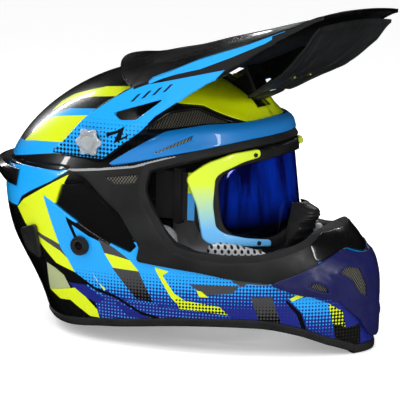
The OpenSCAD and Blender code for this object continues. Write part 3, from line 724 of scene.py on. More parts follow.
SIDE_EDGE = [[-50, 150], [-20, 153.5], [8, 157.5], [30, 164], [54, 169.5], [79, 175.2],
             [79, 173.6], [54, 167.9], [30, 162.2], [8, 155.9], [-20, 151.9], [-44, 149]]
SIDE_SLOT = [[-16, 147.5], [14, 151.5], [12, 144], [-4, 142]]
SCOOP = [[-63, 119], [-57, 138], [-33, 143], [-2, 118], [15, 92], [8, 85], [-10, 92]]
BELT = [[-220, 149], [-100, 150], [-60, 153], [-48, 150.5], [-60, 147], [-220, 142.5]]
REAR_VENT = [[-106, 91], [-84, 99], [-80, 70], [-99, 74]]
MOUTH = [[116, 65], [135, 73], [147, 80], [158, 89], [168, 82.5], [200, 79], [200, 12], [178, 14],
    [173, 31], [161, 49], [149, 54], [136, 56]]
MOUTH_SLOT = [[158, 72], [162, 77], [169, 74], [174, 61], [175, 48], [171, 53], [166, 65]]
SMALL_SLOT = [[139, 63], [145, 66.5], [152, 62.5], [154, 56.5], [147, 58]]
COVER = [[142, 84.5], [137, 97], [136, 112], [200, 112], [200, 80.6], [168.6, 84.1], [158.2, 90.8],
    [146.5, 82.2]]
CROWN_ZONE = [[-220, 34], [-112, 34], [-98, 70], [12, 98], [12, 160], [54, 171], [96, 180],
              [220, 180], [220, 231], [-220, 231]]
PAD_ZONE = [[-220, 78], [-100, 78], [10, 106], [10, 164], [54, 176], [220, 186], [220, 231], [-220, 231]]
CHIN_ZONE = [[44, 36], [90, 38], [220, 24], [220, 92], [138, 92], [121, 84.5], [104, 81], [82, 80.5],
    [60, 83], [46, 87.5]]
PIVOT, PLUG = (-30, 175), (-36, 88)
TRIM_H = 8

CHIN_BACK, CHIN_FRONT = 15, 182  # x between which the chin bar's graphics are moved
EASE_BACK, EASE_FRONT = 25, 14  # lengths over which the move fades in and out
MOVE_BACK, MOVE_DOWN = 4.5, 3
(K_BLACK, K_LIME, K_BLUE, K_FADE, K_GREY, K_LIME_DOTS, K_NAVY_DOTS, K_PALE, K_FRONT, K_GREY_DOTS,
 K_BLACK_DOTS, K_NAVY, K_GREY_FADE) = range(13)
SHELL_PAINTS = [gloss_black, lime, blue, blue_fade, grey, lime_fade, navy_dots, pale, front_fade,
                grey_dots, black_dots, navy_gloss, grey_fade]
SHELL_GRAPHICS = [
    (K_LIME, [(-94, 190.5), (-89, 199), (-77, 206), (-60, 211), (-44, 215), (-18, 217), (-5, 218),
              (-26, 209), (-49, 207), (-65, 204), (-77, 201), (-84, 197)]),
    (K_BLUE, [(-100, 180), (-92, 187), (-81, 192), (-70, 196), (-48, 198), (-20, 200), (-20, 190),
              (-46, 193), (-72, 190), (-84, 188)]),
    (K_LIME, [(-98, 182), (-84, 188), (-72, 190), (-46, 193), (-20, 190), (-20, 172), (-66, 170),
              (-80, 169), (-99, 167), (-117, 164)]),
    (K_BLUE, [(-117, 164), (-99, 167), (-80, 169), (-66, 170), (-50, 172), (-20, 172), (-20, 163),
              (-54, 162), (-68, 161), (-86, 158), (-108, 154), (-128, 150), (-220, 150), (-220, 161)]),
    (K_BLUE, [(-220, 141), (-132, 142.5), (-97, 147), (-50, 149), (-68, 138), (-91, 127), (-104, 120),
              (-112, 110), (-220, 104)]),
    (K_LIME, [(-112, 109), (-101, 118), (-88, 125), (-66, 137), (-49, 146), (-62, 121), (-75, 126), (-57, 83),
              (-51, 75), (-44, 63), (-64, 68), (-84, 85), (-101, 97)]),
    (K_GREY, [(-92, 96), (-78, 91), (-65, 88), (-56, 85), (-51, 75), (-58, 80), (-69, 84), (-81, 88)]),
    (K_FADE, [(-75, 126), (-62, 121), (-47, 115), (-17, 103), (-5, 94), (10, 96), (200, 96), (200, -5),
              (-28, -5), (-28, 37), (-35, 57), (-44, 63), (-51, 75), (-57, 83)]),
    (K_BLACK, [(-50, 111), (-43, 108), (-26, 103), (-5, 93.5), (-10, 91), (-28, 97), (-44, 105),
               (-39, 94.5), (-42, 94), (-49, 107)]),
    (K_GREY, [(-19, 96), (-6, 90), (4, 83), (8, 80), (-14, 84)]),
    (K_LIME, [(-14, 84), (-6, 83), (8, 80), (15, 71), (-7, 72)]),
    (K_GREY_FADE, [(-8, 72), (15, 71), (26, 45), (10, 46)]),
    (K_LIME, [(-27, 66), (-24, 59), (-16, 51), (-18, 50), (-25, 62)]),
    (K_NAVY_DOTS, [(-16, 51), (-5, 45), (6, 43), (26, 44), (45, 42), (66, 42), (88, 40), (100, 20), (100, -5),
                   (-20, -5), (-28, 37)]),
    (K_LIME, [(32, 78), (44, 76), (39, 72), (47, 57), (55, 51), (48, 48), (44, 53), (33, 75)]),
    (K_LIME_DOTS, [(47, 53), (55, 51), (82, 47), (88, 40), (66, 42), (50, 43)]),
    (K_NAVY, [(-10, 42), (0, 37), (22, 29), (-1, 29)]),
    (K_NAVY, [(-53, 52), (-35, 53), (-18, 41), (-28, 37), (-47, 46)]),
    (K_BLACK, [(-60, 65), (-39, 60), (-26, 52), (-8, 47), (13, 34), (31, 33), (31, 30), (13, 31),
               (-8, 44), (-26, 49), (-39, 57), (-60, 62)]),
    (K_LIME, [(-81, 39), (-47, 48), (-37, 41), (-28, 31), (-27, 23), (-36, 23), (-55, 35), (-68, 33)]),
    (K_PALE, [(-76, 66), (-66, 63), (-57, 58), (-52, 47), (-81, 39)]),
    (K_GREY, [(60, 66), (98, 66), (92, 59), (70, 57)]),
    (K_GREY_DOTS, [(106, 56), (121, 57), (129, 25), (112, 28)]),
    (K_LIME, [(65, 61), (69, 60), (74, 55), (67, 55)]),
    (K_GREY, [(92, 71), (119, 70), (119, 67), (103, 68), (101, 65), (93, 69)]),
    (K_LIME, [(120, 70), (126, 68), (128, 66), (122, 67)]),
    (K_FRONT, [(134, 53), (146, 57), (159, 50), (160, 43), (162, 35), (165, 15), (148, 18), (142, 42)]),
    (K_LIME, [(133, 55), (141, 60), (146, 58), (143, 57), (135, 53)]),
    (K_LIME_DOTS, [(159, 50), (168, 42), (170, 27), (162, 32)]),
    (K_BLACK_DOTS, [(162, 32), (171, 27), (176, 27), (176, 5), (165, 8)]),
    (K_BLACK, [(130, 53), (132, 53.5), (141, 42), (147, 18), (144, 17), (138, 41)]),
]


def u_at(y, v):
    """The domain's u at the front of the body, where it is y from the middle."""
    _, _, _, w, _, power = sections(np.asarray(v, float))
    return np.degrees(np.arcsin(np.clip((y / np.maximum(w, 1e-6))**(power / 2), 0, 1))) * KU


def off_middle(loop, y):
    out = loop.copy()
    out[:, 0] = np.maximum(out[:, 0], u_at(y, loop[:, 1]))
    return tidy(out)


def gap_to(p, loop):
    """Distance in side view from points to an outline of X and Z."""
    best = np.full(len(p), 1e9)
    q = np.asarray(loop, float)
    for a, b in zip(q, np.roll(q, -1, 0)):
        t = np.clip(((p[:, [0, 2]] - a) @ (b - a)) / ((b - a) @ (b - a)), 0, 1)
        best = np.minimum(best, np.linalg.norm(p[:, [0, 2]] - a - t[:, None] * (b - a), axis=1))
    return best


def smooth(t):
    t = np.clip(t, 0, 1)
    return t * t * (3 - 2 * t)


def along(x, points):
    """Height of a line through points at x."""
    q = np.asarray(points, float)
    return np.interp(x, q[:, 0], q[:, 1])


def pair(solid):
    return joined(solid, mirrored(solid))


def loft(rings, closed=False):
    """A closed solid through rings of points; closed joins the last ring to the first."""
    rings = np.asarray(rings, float)
    n, m = rings.shape[:2]
    faces = [(i * m + j, i * m + (j + 1) % m, ((i + 1) % n) * m + (j + 1) % m, ((i + 1) % n) * m + j)
             for i in range(n if closed else n - 1) for j in range(m)]
    if not closed:
        faces += [tuple(range(m))[::-1], tuple(range((n - 1) * m, n * m))]
    return rings.reshape(-1, 3), faces, [0] * len(faces)


def soft_box(a0, a1, b0, b1, r, n=4):
    """A rectangle with round corners, as points."""
    out = []
    corners = ((a1 - r, b1 - r), (a0 + r, b1 - r), (a0 + r, b0 + r), (a1 - r, b0 + r))
    for start, (ca, cb) in zip((0, 90, 180, 270), corners):
        out += [(ca + r * math.cos(math.radians(start + k * 90 / n)),
                 cb + r * math.sin(math.radians(start + k * 90 / n))) for k in range(n + 1)]
    return out


# ---------------------------------------------------------------- shell
def foot(phi):
    return curve(RIM, phi)[..., 1] + TRIM_H + 0.3


def settled(points):
    """The graphics of the chin bar sit a little lower and further back, where the body narrows."""
    x, z = np.array(points, float).T
    ease = smooth((x - CHIN_BACK) / EASE_BACK) * smooth((CHIN_FRONT - x) / EASE_FRONT)
    return np.stack([x - MOVE_BACK * ease, z - MOVE_DOWN * ease], 1)


def shell():
    phis = np.linspace(0, 180, 121)
    lower = np.stack([phis * KU, foot(phis)], 1)
    rise = np.linspace(0, 1, 50)[1:-1]
    back = np.stack([np.full(48, HALF_TURN), lower[-1, 1] + (TOP - lower[-1, 1]) * rise], 1)
    crown = np.stack([np.linspace(HALF_TURN, 0, 25), np.full(25, TOP)], 1)
    front = np.stack([np.zeros(48), TOP + (lower[0, 1] - TOP) * rise], 1)
    outline = np.concatenate([lower, back, crown, front])
    holes = [on_body(PORT, 3), on_body(SCOOP, 0, 2), on_body(BELT), on_body(FOREHEAD_VENT, 0, 3),
             to_uv(circle(*PLUG, 8.4)), to_uv(circle(*PIVOT, 4.6))]
    paint = [(on_body(settled(points), 0, 0, 4), kind) for kind, points in SHELL_GRAPHICS]
    solid = plate(outline, 0, 4, spacing=4.5, holes=holes, paint=paint, r=0.9, whole=True)
    make("shell", solid, SHELL_PAINTS, "helmet", ["outer_shell"], sharp=60)


def brow_relief(p, uv):
    crease = along(p[:, 0], [(-11, 158), (26, 178), (51, 183), (75, 184), (110, 189)])
    return smooth(np.abs(p[:, 2] - crease) / 9) * 2.6


def fairing_relief(p, uv):
    crease = along(p[:, 0], [(24, 212), (60, 206), (92, 197)])
    return 2.4 * smooth((crease - p[:, 2]) / 7) + 0.9 * smooth((p[:, 2] - crease - 8) / 8)


def mouth_relief(p, uv):
    lip = np.minimum(gap_to(p, MOUTH_SLOT), gap_to(p, SMALL_SLOT))
    ridge = smooth((np.abs(p[:, 1]) - 5) / 9) * smooth((p[:, 2] - 20) / 20)
    fold = smooth(np.abs(p[:, 2] - along(p[:, 0], [(119, 64), (150, 56), (170, 34)])) / 6)
    return 1.0 + ridge * smooth((lip - 1) / 6) * 1.9 + 0.9 * fold - 0.9


def cover_relief(p, uv):
    return 1.7 * smooth((103 - p[:, 2]) / 5) + 0.8 * smooth((np.abs(p[:, 1]) - 16) / 8)


def body_pieces():
    helmet = "helmet"
    make("brow_band", plate(on_body(BROW, 0, 3), -5.5, -0.4, spacing=3.4, holes=[on_body(BROW_SLOT, 0, 1.2)],
                            relief=brow_relief, whole=True, r=0.7),
         brow_blue, helmet, ["brow_band"], sharp=50)
    make("brow_vent_mesh", pair(plate(on_body(BROW_SLOT, -0.4, 1), -2.6, -0.4, r=0.2)),
         olive_vent, helmet, ["brow_vent_mesh"])
    edge = [(u_at(16, v), v) for v in np.linspace(TOP - 90, TOP - 2, 30)]
    notch = np.array([(0, TOP - 90)] + edge + [(0, TOP - 2)])
    make("forehead_fairing", pair(plate(on_body(FOREHEAD, 0, 2), -3.5, -0.4, spacing=3.4, holes=[notch],
                                        relief=fairing_relief, r=0.7)),
         lime, helmet, ["forehead_fairing"], sharp=50)
    make("forehead_mesh", pair(plate(on_body(FOREHEAD_VENT, -0.4, 3), 2, 3.7, r=0.2)),
         vent, helmet, ["forehead_mesh"])
    cuts = [on_body(PORT, 3), on_body(SIDE_SLOT, 0, 1.5), on_body(MOUTH, 0.5), on_body(COVER, 0.5)]
    panel = plate(on_body(SIDE_PANEL, 0, 3), -2, -0.4, spacing=4, holes=cuts,
                  paint=[(on_body(SIDE_EDGE), 1)], r=0.6)
    for side, solid in (("left", panel), ("right", mirrored(panel))):
        make("side_panel_" + side, solid, [charcoal, edge_grey], helmet, ["side_panel_" + side])
    make("side_mesh", pair(plate(on_body(SIDE_SLOT, -0.4, 1.2), -1.4, -0.4, r=0.2)),
         vent, helmet, ["side_mesh"])
    scoop = plate(on_body(SCOOP, -0.4, 2), 2.2, 3.9, r=0.3, spacing=3.5)
    for side, solid in (("left", scoop), ("right", mirrored(scoop))):
        make("scoop_" + side, solid, gloss_black, helmet, ["scoop_" + side])
    make("rear_belt", plate(on_body(BELT, -0.4), 1.4, 3.9, r=0.4, whole=True), gloss_black, helmet,
         ["rear_belt"])
    make("rear_vents", pair(plate(on_body(REAR_VENT, 0, 4), -3, -0.4, r=0.6, spacing=3,
                                  relief=lambda p, uv: 1.8 * smooth(gap_to(p, REAR_VENT) / 4 - 0.6))),
         charcoal, helmet, ["rear_vents"])
    slot = off_middle(on_body(MOUTH_SLOT, 0, 2), 6)
    small = on_body(SMALL_SLOT, 0, 1.5)
    make("mouthpiece", plate(on_body(MOUTH, 0, 2), -5.5, -0.4, spacing=3, holes=[slot, small],
                             relief=mouth_relief, whole=True, r=0.9),
         navy_satin, helmet, ["mouthpiece"], sharp=50)
    nets = joined(pair(plate(off_middle(on_body(MOUTH_SLOT, -0.4, 2), 6.5), -3, -0.4, r=0.2)),
                  pair(plate(on_body(SMALL_SLOT, -0.4, 1.5), -3, -0.4, r=0.2)))
    make("mouthpiece_mesh", nets, vent, helmet, ["mouthpiece_mesh"])
    make("mouth_cover", plate(on_body(COVER, 0, 1.5), -4, -0.4, spacing=3, holes=[on_body(PORT, 3)],
                              relief=cover_relief, whole=True, r=0.8),
         gloss_black, helmet, ["mouth_cover"], sharp=45)
    make("eye_port_trim", plate(on_body(PORT, 2.6, 4), -1.8, 9, spacing=3, holes=[on_body(PORT, -1.6, 4)],
                                whole=True, r=1.3),
         trim_rubber, helmet, ["eye_port_trim"])


# ---------------------------------------------------------------- rubber edge
def wall(z, phi):
    return body(np.array([[phi * KU, z]]))[0]


def edge_point(z, phi, d):
    p, q = wall(z, phi), wall(z, phi + 1) - wall(z, phi - 1)
    n = np.array([q[1], -q[0], 0])
    return p - d * n / np.linalg.norm(n)


def edges():
    section_points = soft_box(-1.6, 9, 0, TRIM_H, 2.4)
    rings = []
    for phi in np.linspace(15.6, 159.8, 121):
        base = float(curve(RIM, phi)[1])
        rings.append([edge_point(base + h, phi, d) for d, h in section_points])
    trim = loft(rings)
    for side, solid in (("left", trim), ("right", mirrored(trim))):
        make("edge_trim_" + side, solid, trim_rubber, "helmet", ["edge_trim_" + side])
    for name, mid, half in (("chin_rest_trim", 0, 15.4), ("nape_rest_trim", 180, 20)):
        rings = []
        for phi in np.linspace(mid - half, mid + half, 33):
            turn = abs(phi) if mid == 0 else 360 - phi if phi > 180 else phi
            sign = 1 if (phi >= 0 if mid == 0 else phi <= 180) else -1
            ring = np.array([edge_point(4, turn, d) + np.array([0, 0, h - 4]) for d, h in section_points])
            rings.append(ring * np.array([1, sign, 1]))
        make(name, loft(rings), trim_rubber, "helmet", [name])


def spoiler():
    phis = np.linspace(126, 234, 81)
    outer, inner = [], []
    for h in np.linspace(0, 1, 9):
        z = 127 + 14.4 * h
        v = DOME_Z + ARC * math.asin((z - DOME_Z) / (CROWN_Z - DOME_Z)) / (math.pi / 2)
        rise = np.interp(h, [0, 0.25, 0.5, 0.75, 1], [0.15, 0.6, 1, 1, 0.55])
        row_o, row_i = [], []
        for phi in phis:
            turn, sign = (phi, 1) if phi <= 180 else (360 - phi, -1)
            p, n = skin(np.array([[turn * KU, v]]))
            lift = 1.4 + 14 * max(0, math.cos(math.radians((phi - 180) / 54 * 90)))**0.8 * rise
            row_o.append((p[0] + n[0] * lift) * np.array([1, sign, 1]))
            row_i.append((p[0] + n[0] * 0.4) * np.array([1, sign, 1]))
        outer.append(row_o)
        inner.append(row_i)
    make("rear_spoiler", lattice(outer, inner), gloss_black, "helmet", ["rear_spoiler"],
         bevel=0.5)


def plugs():
    profile = [(3.6, 3.0), (3.6, 3.35), (4.2, 3.5), (4.8, 3.0), (6.6, 3.0), (7.1, 3.4), (7.8, 3.1), (8, 2.5),
               (8, -2.6), (7.6, -3), (0.5, -3)]
    well = [(0.5, 0.1), (3.55, 0.1), (3.55, 3.0)]
    for side, s in (("left", 1), ("right", -1)):
        solid = placed(lathe(well + profile, 64), (PLUG[0], s * 125, PLUG[1]), (0, s, 0))
        make("shell_plug_" + side, solid, trim_rubber, "helmet", ["shell_plug_" + side], sharp=50)


# ---------------------------------------------------------------- visor
ROOF = [[-52, 240, 205], [-30, 242, 210], [6, 249, 222], [27, 253, 231], [60, 261, 245.5],
        [97, 269.5, 258.5], [130, 278.5, 272], [157, 287, 284]]
WING_TOP = [[-65, 166], [-35, 195], [-9, 213], [6, 222], [27, 231], [60, 245.5],
            [97, 258.5], [130, 272], [157, 284]]
WING_FOOT = [[-65, 163.5], [-40, 162], [-18, 162], [14, 187], [26, 199.5], [62, 224.5],
             [83, 237], [119, 260], [132, 269], [157, 281.5]]
WING_CUT = [[-11, 199], [-9, 201], [30, 213.5], [32, 212.5], [10, 195], [-5, 194]]
DUCT = [[76, 46, 214], [96, 60, 225], [109, 69, 232], [121, 78, 240], [141, 88, 259], [153, 90, 275]]
WALL = 2.6
SCREW_ANGLE, BRACKET_R, TONGUE_GAP = 25, 104, 0.4
TONGUE_K = 1.85  # flat length of one degree of the tongue
SLOT_R = 3.3
WING_GRAPHICS = [
    (1, WING_FOOT[:6] + [(75, 232), (82, 239.5), (53, 232.5), (28, 226.5), (7, 222), (-9, 213), (-35, 196),
                         (-66, 166)]),
    (2, [(11.4, 223), (19.9, 226), (40.7, 233.5), (61.4, 239), (85.6, 249), (113, 261.5), (134, 275),
         (130, 276), (97, 264), (60, 251), (27, 236), (12, 226)]),
    (0, [(-6, 186), (1, 190), (-2, 180), (5, 184), (3, 181), (-9, 175), (-5, 184), (-15, 180), (-16, 183)]),
] + [(0, [(4 + 9 * k, 209.5 + 3.1 * k), (7 + 9 * k, 210.5 + 3.1 * k), (13 + 9 * k, 217 + 3.1 * k),
          (10 + 9 * k, 216 + 3.1 * k)]) for k in range(4)]


def wing_y(x, z):
    return 122.5 - 0.12 * (z - 162) - 0.085 * np.maximum(0, x)


def wing_face(xz):
    x, z = xz.T
    p = np.stack([x, wing_y(x, z) - 0.3, z], 1)
    return p, unit(np.stack([np.where(x > 0, 0.085, 0), np.ones(len(x)), np.full(len(x), 0.12)], 1))


def wing_relief(p, uv):
    """The wing thins towards a crease that runs along its lower leg."""
    crease = along(p[:, 0], [(-60, 172), (-20, 172), (14, 193), (36, 210), (75, 235), (130, 270)])
    return 0.8 * smooth((crease - p[:, 2]) / 5)


def roof_at(u, v, drop=0.0):
    x = -52 + 58 * v * v + (157 + 6 * (1 - v * v) + 52 - 58 * v * v) * u
    ridge, shoulder = curve(ROOF, x)[..., 1:].T
    arch = 1 - np.abs(v)**2.4
    fade = smooth(u * 4) * smooth((1 - u) * 3.2)
    ribs = np.exp(-((np.abs(v) - 0.42) / 0.07)**2) - 0.8 * np.exp(-((np.abs(v) - 0.62) / 0.1)**2)
    lift = 2.2 * ribs * fade * (drop == 0)
    return np.stack([x, v * wing_y(x, shoulder), shoulder + (ridge - shoulder) * arch + lift - drop], -1)


def visor():
    x = np.linspace(-65, 157, 90)
    outline = np.concatenate([np.stack([x, curve(WING_FOOT, x)[:, 1]], 1),
                              np.stack([x, curve(WING_TOP, x)[:, 1]], 1)[::-1]])
    cut = dense(rounded(WING_CUT, 2.5), 2)
    paint = [(dense(points, 4), kind) for kind, points in WING_GRAPHICS]
    wing = plate(tidy(outline), 0, 2.3, surface=wing_face, holes=[cut, np.array(circle(*PIVOT, 9.2))],
                 paint=paint, relief=wing_relief, r=0.5, spacing=4)
    rows, cols = 97, 71
    u, v = np.meshgrid(np.linspace(0, 1, cols), np.linspace(-1, 1, rows))
    top, low = (roof_at(u.ravel(), v.ravel(), d).reshape(rows, cols, 3) for d in (0, WALL))
    roof = lattice(top, low)
    solid = joined(roof, wing, mirrored(wing))
    verts, faces, kinds = solid
    count = len(roof[1])
    for i in range(count):
        p = np.mean([verts[j] for j in faces[i]], axis=0)
        under = faces[i][0] >= rows * cols
        side = abs(p[1]) / float(wing_y(p[0], curve(ROOF, p[0])[2]))
        if under:
            kinds[i] = 3
        elif 0.955 < side and 20 < p[0] < 118:
            kinds[i] = 2
    make("visor", (verts, faces, kinds), [gloss_black, visor_dots, blue, underside], "visor_assembly",
         ["visor"], sharp=40, bevel=0.35)


def duct_at(u, v, drop):
    x = 76 + 77 * u
    half, height = curve(DUCT, x)[..., 1:].T
    return np.stack([x, v * half, height + 3 * (1 - v * v) - drop], -1)


def duct_relief(u, v):
    """Ribs and an arrow-shaped raised panel on the duct's underside."""
    a = np.abs(v)
    arrow = smooth((0.62 + 0.55 * (u - 0.5) - a) / 0.05) * smooth((u - 0.3 - 0.5 * a) / 0.08)
    rib = np.exp(-((a - 0.22 - 0.3 * u) / 0.035)**2) + np.exp(-((a - 0.86) / 0.03)**2)
    return 1.6 * arrow + 1.3 * rib * smooth(u * 6) * smooth((1 - u) * 6)


def polar(r, a):
    t = np.radians(a)
    return PIVOT[0] + r * np.cos(t), PIVOT[1] + r * np.sin(t)


def tongue_face(uv):
    r = BRACKET_R + TONGUE_GAP + 3
    x, z = polar(r, uv[:, 0] / TONGUE_K)
    t = np.radians(uv[:, 0] / TONGUE_K)
    return np.stack([x, uv[:, 1], z], 1), np.stack([np.cos(t), np.zeros(len(uv)), np.sin(t)], 1)


def duct():
    u, v = np.meshgrid(np.linspace(0, 1, 61), np.linspace(-1, 1, 81))
    top = duct_at(u.ravel(), v.ravel(), 0).reshape(81, 61, 3)
    low = duct_at(u.ravel(), v.ravel(), 3 + duct_relief(u.ravel(), v.ravel())).reshape(81, 61, 3)
    a0, a1 = (SCREW_ANGLE - 7.5) * TONGUE_K, (SCREW_ANGLE + 9) * TONGUE_K
    slot = [(SCREW_ANGLE * TONGUE_K + dx + SLOT_R * math.cos(t), SLOT_R * math.sin(t))
            for dx, start in ((4.8, -90), (-8, 90)) for t in np.radians(np.arange(start, start + 181, 20))]
    tongue = plate(dense(rounded([(a0, -13), (a1, -13), (a1, 13), (a0, 13)], 4)), 0, 3, surface=tongue_face,
                   holes=[np.array(slot)], r=0.4, spacing=3)
    rings = []
    for t in np.linspace(0, 1, 9):
        x0, z0 = polar(BRACKET_R + TONGUE_GAP + 1.5, SCREW_ANGLE - 7.2)
        mid = np.array([x0 + (78.5 - x0) * t, 0, z0 + (213 - z0) * t])
        half = 12.5 + 17.5 * smooth(t)
        rings.append([mid + np.array([0.35 * b, a, b]) for a, b in soft_box(-half, half, -1.5, 1.5, 1.4, 3)])
    make("visor_duct", joined(lattice(top, low), tongue, loft(rings)), underside, "visor_assembly",
         ["visor_duct"], sharp=40, bevel=0.4)


def knobs():
    shaft = [(0.5, -12.4), (4, -12.4), (4, 0), (0.5, 0)]
    flower = [(0.5, 0), (9.6, 0), (10.5, 0.7), (10.5, 2.4), (9.5, 3.3), (6.4, 3.4), (6.0, 3.0), (0.5, 3.0)]
    cap = [(0.5, 2.9), (5.6, 2.9), (5.6, 4.3), (5.1, 4.8), (3.2, 4.8), (2.8, 3.9), (0.5, 3.9)]
    for side, s in (("left", 1), ("right", -1)):
        solid = joined(lathe(shaft, 48), lathe(flower, 120, 6, 0.13), lathe(cap, 48))
        make("visor_screw_" + side, placed(solid, (PIVOT[0], s * 122.6, PIVOT[1]), (0, s, 0)), clear,
             "visor_screw_" + side + "_body", ["visor_screw_" + side], sharp=45)


# ---------------------------------------------------------------- goggles
GOG_W, GOG_H, GOG_Z, GOG_X = 85, 41, 126.2, 104
GOG_BOXY = 0.45  # power of the outline's corners: 1 is an ellipse, 0 a box
NOSE_RISE, BROW_RISE = 12, 4.5  # rise of the outline in its middle, below and above
NOSE_SPREAD, BROW_SPREAD = 400, 1500
NOSE = [[84, 113, 27], [92, 119, 25], [100, 122, 22], [106, 124, 20], [110, 128, 17], [116, 125, 14],
    [121, 114, 11]]
OUTRIGGER = [[46, 168.8], [66, 166.5], [83, 159.5], [95, 149], [90.5, 126], [89.5, 99], [85, 94.5],
    [62, 91.5], [44, 89.5], [44, 93], [62, 96], [77, 101], [82.5, 107], [83, 126], [80, 148], [76, 153],
    [60, 161], [46, 164.4]]
WEB = [[54.5, 87.2], [44, 87.5], [34, 88.2], [24, 88.6], [15, 88.5]]


def gog_face(y, z):
    return GOG_X - 0.0062 * y * y - 0.14 * (z - 132)


def gog_rim(grow, a):
    """The frame's outline: a boxy oval that arches over the nose and rises at the brow."""
    c, s = np.cos(np.radians(a)), np.sin(np.radians(a))
    y = (GOG_W + grow) * spow(c, GOG_BOXY)
    arch = np.where(s < 0, NOSE_RISE * np.exp(-y * y / NOSE_SPREAD), BROW_RISE * np.exp(-y * y / BROW_SPREAD))
    return np.stack([y, GOG_Z + (GOG_H + grow) * spow(s, GOG_BOXY) + arch], -1)


def gog_skin(yz):
    y, z = yz.T
    return (np.stack([gog_face(y, z), y, z], 1),
            unit(np.stack([np.ones(len(y)), 0.0124 * y, np.full(len(y), 0.14)], 1)))


def gog_ring(profile, steps=132):
    rings = []
    for a in np.arange(steps) * 360 / steps:
        ring = []
        for g, x in profile:
            y, z = gog_rim(g, a)
            ring.append((gog_face(y, z) + x, y, z))
        rings.append(ring)
    return loft(rings, closed=True)


def goggles():
    on = "goggles"
    frame_ring = gog_ring(soft_box(-9, 0, -14, 0, 2.2))
    ribs = []
    for a in list(range(38, 143, 8)):
        y, z = gog_rim(-2.5, a)
        x = gog_face(y, z) - 7
        ring = [(x - 5.5, b, c) for b, c in soft_box(y - 3.6, y + 3.6, z - 1.4, z + 3.0, 1.1, 3)]
        front = [(x + 4.8, b, c) for _, b, c in ring]
        tip = [(x + 5.6, y + (b - y) * 0.8, z + (c - z) * 0.8) for _, b, c in ring]
        ribs.append(loft([ring, front, tip]))
    make("goggle_frame", joined(frame_ring, *ribs), frame_black, on, ["goggle_frame"],
         sharp=50)
    lens_edge = gog_rim(-9.4, np.arange(132) * 360 / 132)
    make("goggle_lens", plate(lens_edge, 4, 6, surface=gog_skin, spacing=6, r=0.3), mirror, on,
         ["goggle_lens"])
    angles = np.radians(np.linspace(-90, 90, 49))
    outer, inner = [], []
    table = np.array(NOSE, float)
    for z in np.linspace(84, 121, 45):
        front, half = (np.interp(z, table[:, 0], table[:, k]) for k in (1, 2))
        x = gog_face(half, z) + 0.4
        ridge = 0.9 * (math.cos((z - 84) * math.tau / 7.5) > 0.2) * np.clip(np.cos(angles * 1.6), 0, 1)**0.3
        for rows, cut in ((outer, 0.9 - ridge), (inner, np.full(len(angles), 2.6))):
            rows.append(np.stack([x + (front - cut - x) * np.cos(angles), (half - cut) * np.sin(angles),
                                  np.full(len(angles), z)], 1))
    make("goggle_nose_guard", lattice(outer, inner), frame_black, on, ["goggle_nose_guard"],
         bevel=0.3)
    arm = plate(dense(rounded(OUTRIGGER, 4), 2), -4.4, -0.4, surface=gog_skin, spacing=3, r=1.1)
    for side, solid in (("left", arm), ("right", mirrored(arm))):
        make("outrigger_" + side, solid, outrigger_paint, on, ["outrigger_" + side])
    path = np.array([(x, y, 132) for x, y in WEB])
    t = np.linspace(0, len(path) - 1, 25)
    path = np.stack([np.interp(t, range(len(path)), path[:, k]) for k in range(3)], 1)
    strap = sweep(path, pill(40, 2), (0, 0, 1))
    for side, solid in (("left", strap), ("right", mirrored(strap))):
        name = "goggle_strap_" + side
        make(name, solid, goggle_web, on, [name], sharp=60)


# ---------------------------------------------------------------- linings and straps
pads = []


def pad(name, solid, material, on, node, voxel=4.5, cap=4.0):
    """A padded piece: it is swollen by the cloth simulation once all the pads are made."""
    obj = make(name, solid, material, on, [node], sharp=180)
    pads.append((obj, voxel / 1000, cap / 1000))
    return obj


def ring_between(zone, d0, d1, step, paint=()):
    return plate(on_body(zone, 0, 5, 4), d0, d1, spacing=step, whole=True, r=2,
                 paint=[(on_body(points), kind) for kind, points in paint])


FOAM_PATCHES = [(1, [(-6, 122), (30, 122), (30, 150), (-6, 150)]),
                (2, [(-6, 90), (30, 90), (30, 121), (-6, 121)])]
CHEEK_FACE = [[-60, 34], [38, 40], [40, 88], [36, 99], [20, 100], [13, 95], [8, 92], [-60, 75]]
JAW_FACE = [[70, 74], [112, 72], [114, 90], [96, 92], [80, 94], [70, 93]]


def linings():
    make("crown_foam", ring_between(CROWN_ZONE, 4.4, 26, 7, FOAM_PATCHES),
         [foam_black, olive_vent, grey_cloth], "helmet", ["crown_foam"])
    make("chin_foam", ring_between(CHIN_ZONE, 4.4, 18, 6), foam_black, "helmet", ["chin_foam"])
    pad("crown_pad", plate(on_body(PAD_ZONE, 0, 5, 4), 26.8, 33, spacing=5, whole=True, r=2.4),
        liner, "helmet", "crown_pad")
    roll = on_body([(-220, 44), (-95, 44), (-95, 70), (-220, 70)], 0, 4, 4)
    pad("neck_roll", plate(roll, 28, 41, spacing=5, whole=True, r=5),
        liner, "helmet", "neck_roll")
    cheek = plate(on_body(CHEEK_FACE, -2.5, 7, 4), 7.5, 35, spacing=5, r=7)
    jaw = plate(on_body(JAW_FACE, -1, 3, 3), 10, 19, spacing=3, r=2.5)
    for side, c, j in (("left", cheek, jaw), ("right", mirrored(cheek), mirrored(jaw))):
        name = "cheek_pad_" + side
        pad(name, c, grey_cloth, name + "_body", name)
        pad("jaw_pad_" + side, j, silver_mesh, "helmet", "jaw_pad_" + side, 3.0, 1.5)
    pad("goggle_foam", gog_ring(soft_box(-11.4, -4.2, -24.6, -14.8, 2.5), 96),
        liner, "goggles", "goggle_foam", 3.0, 1.0)


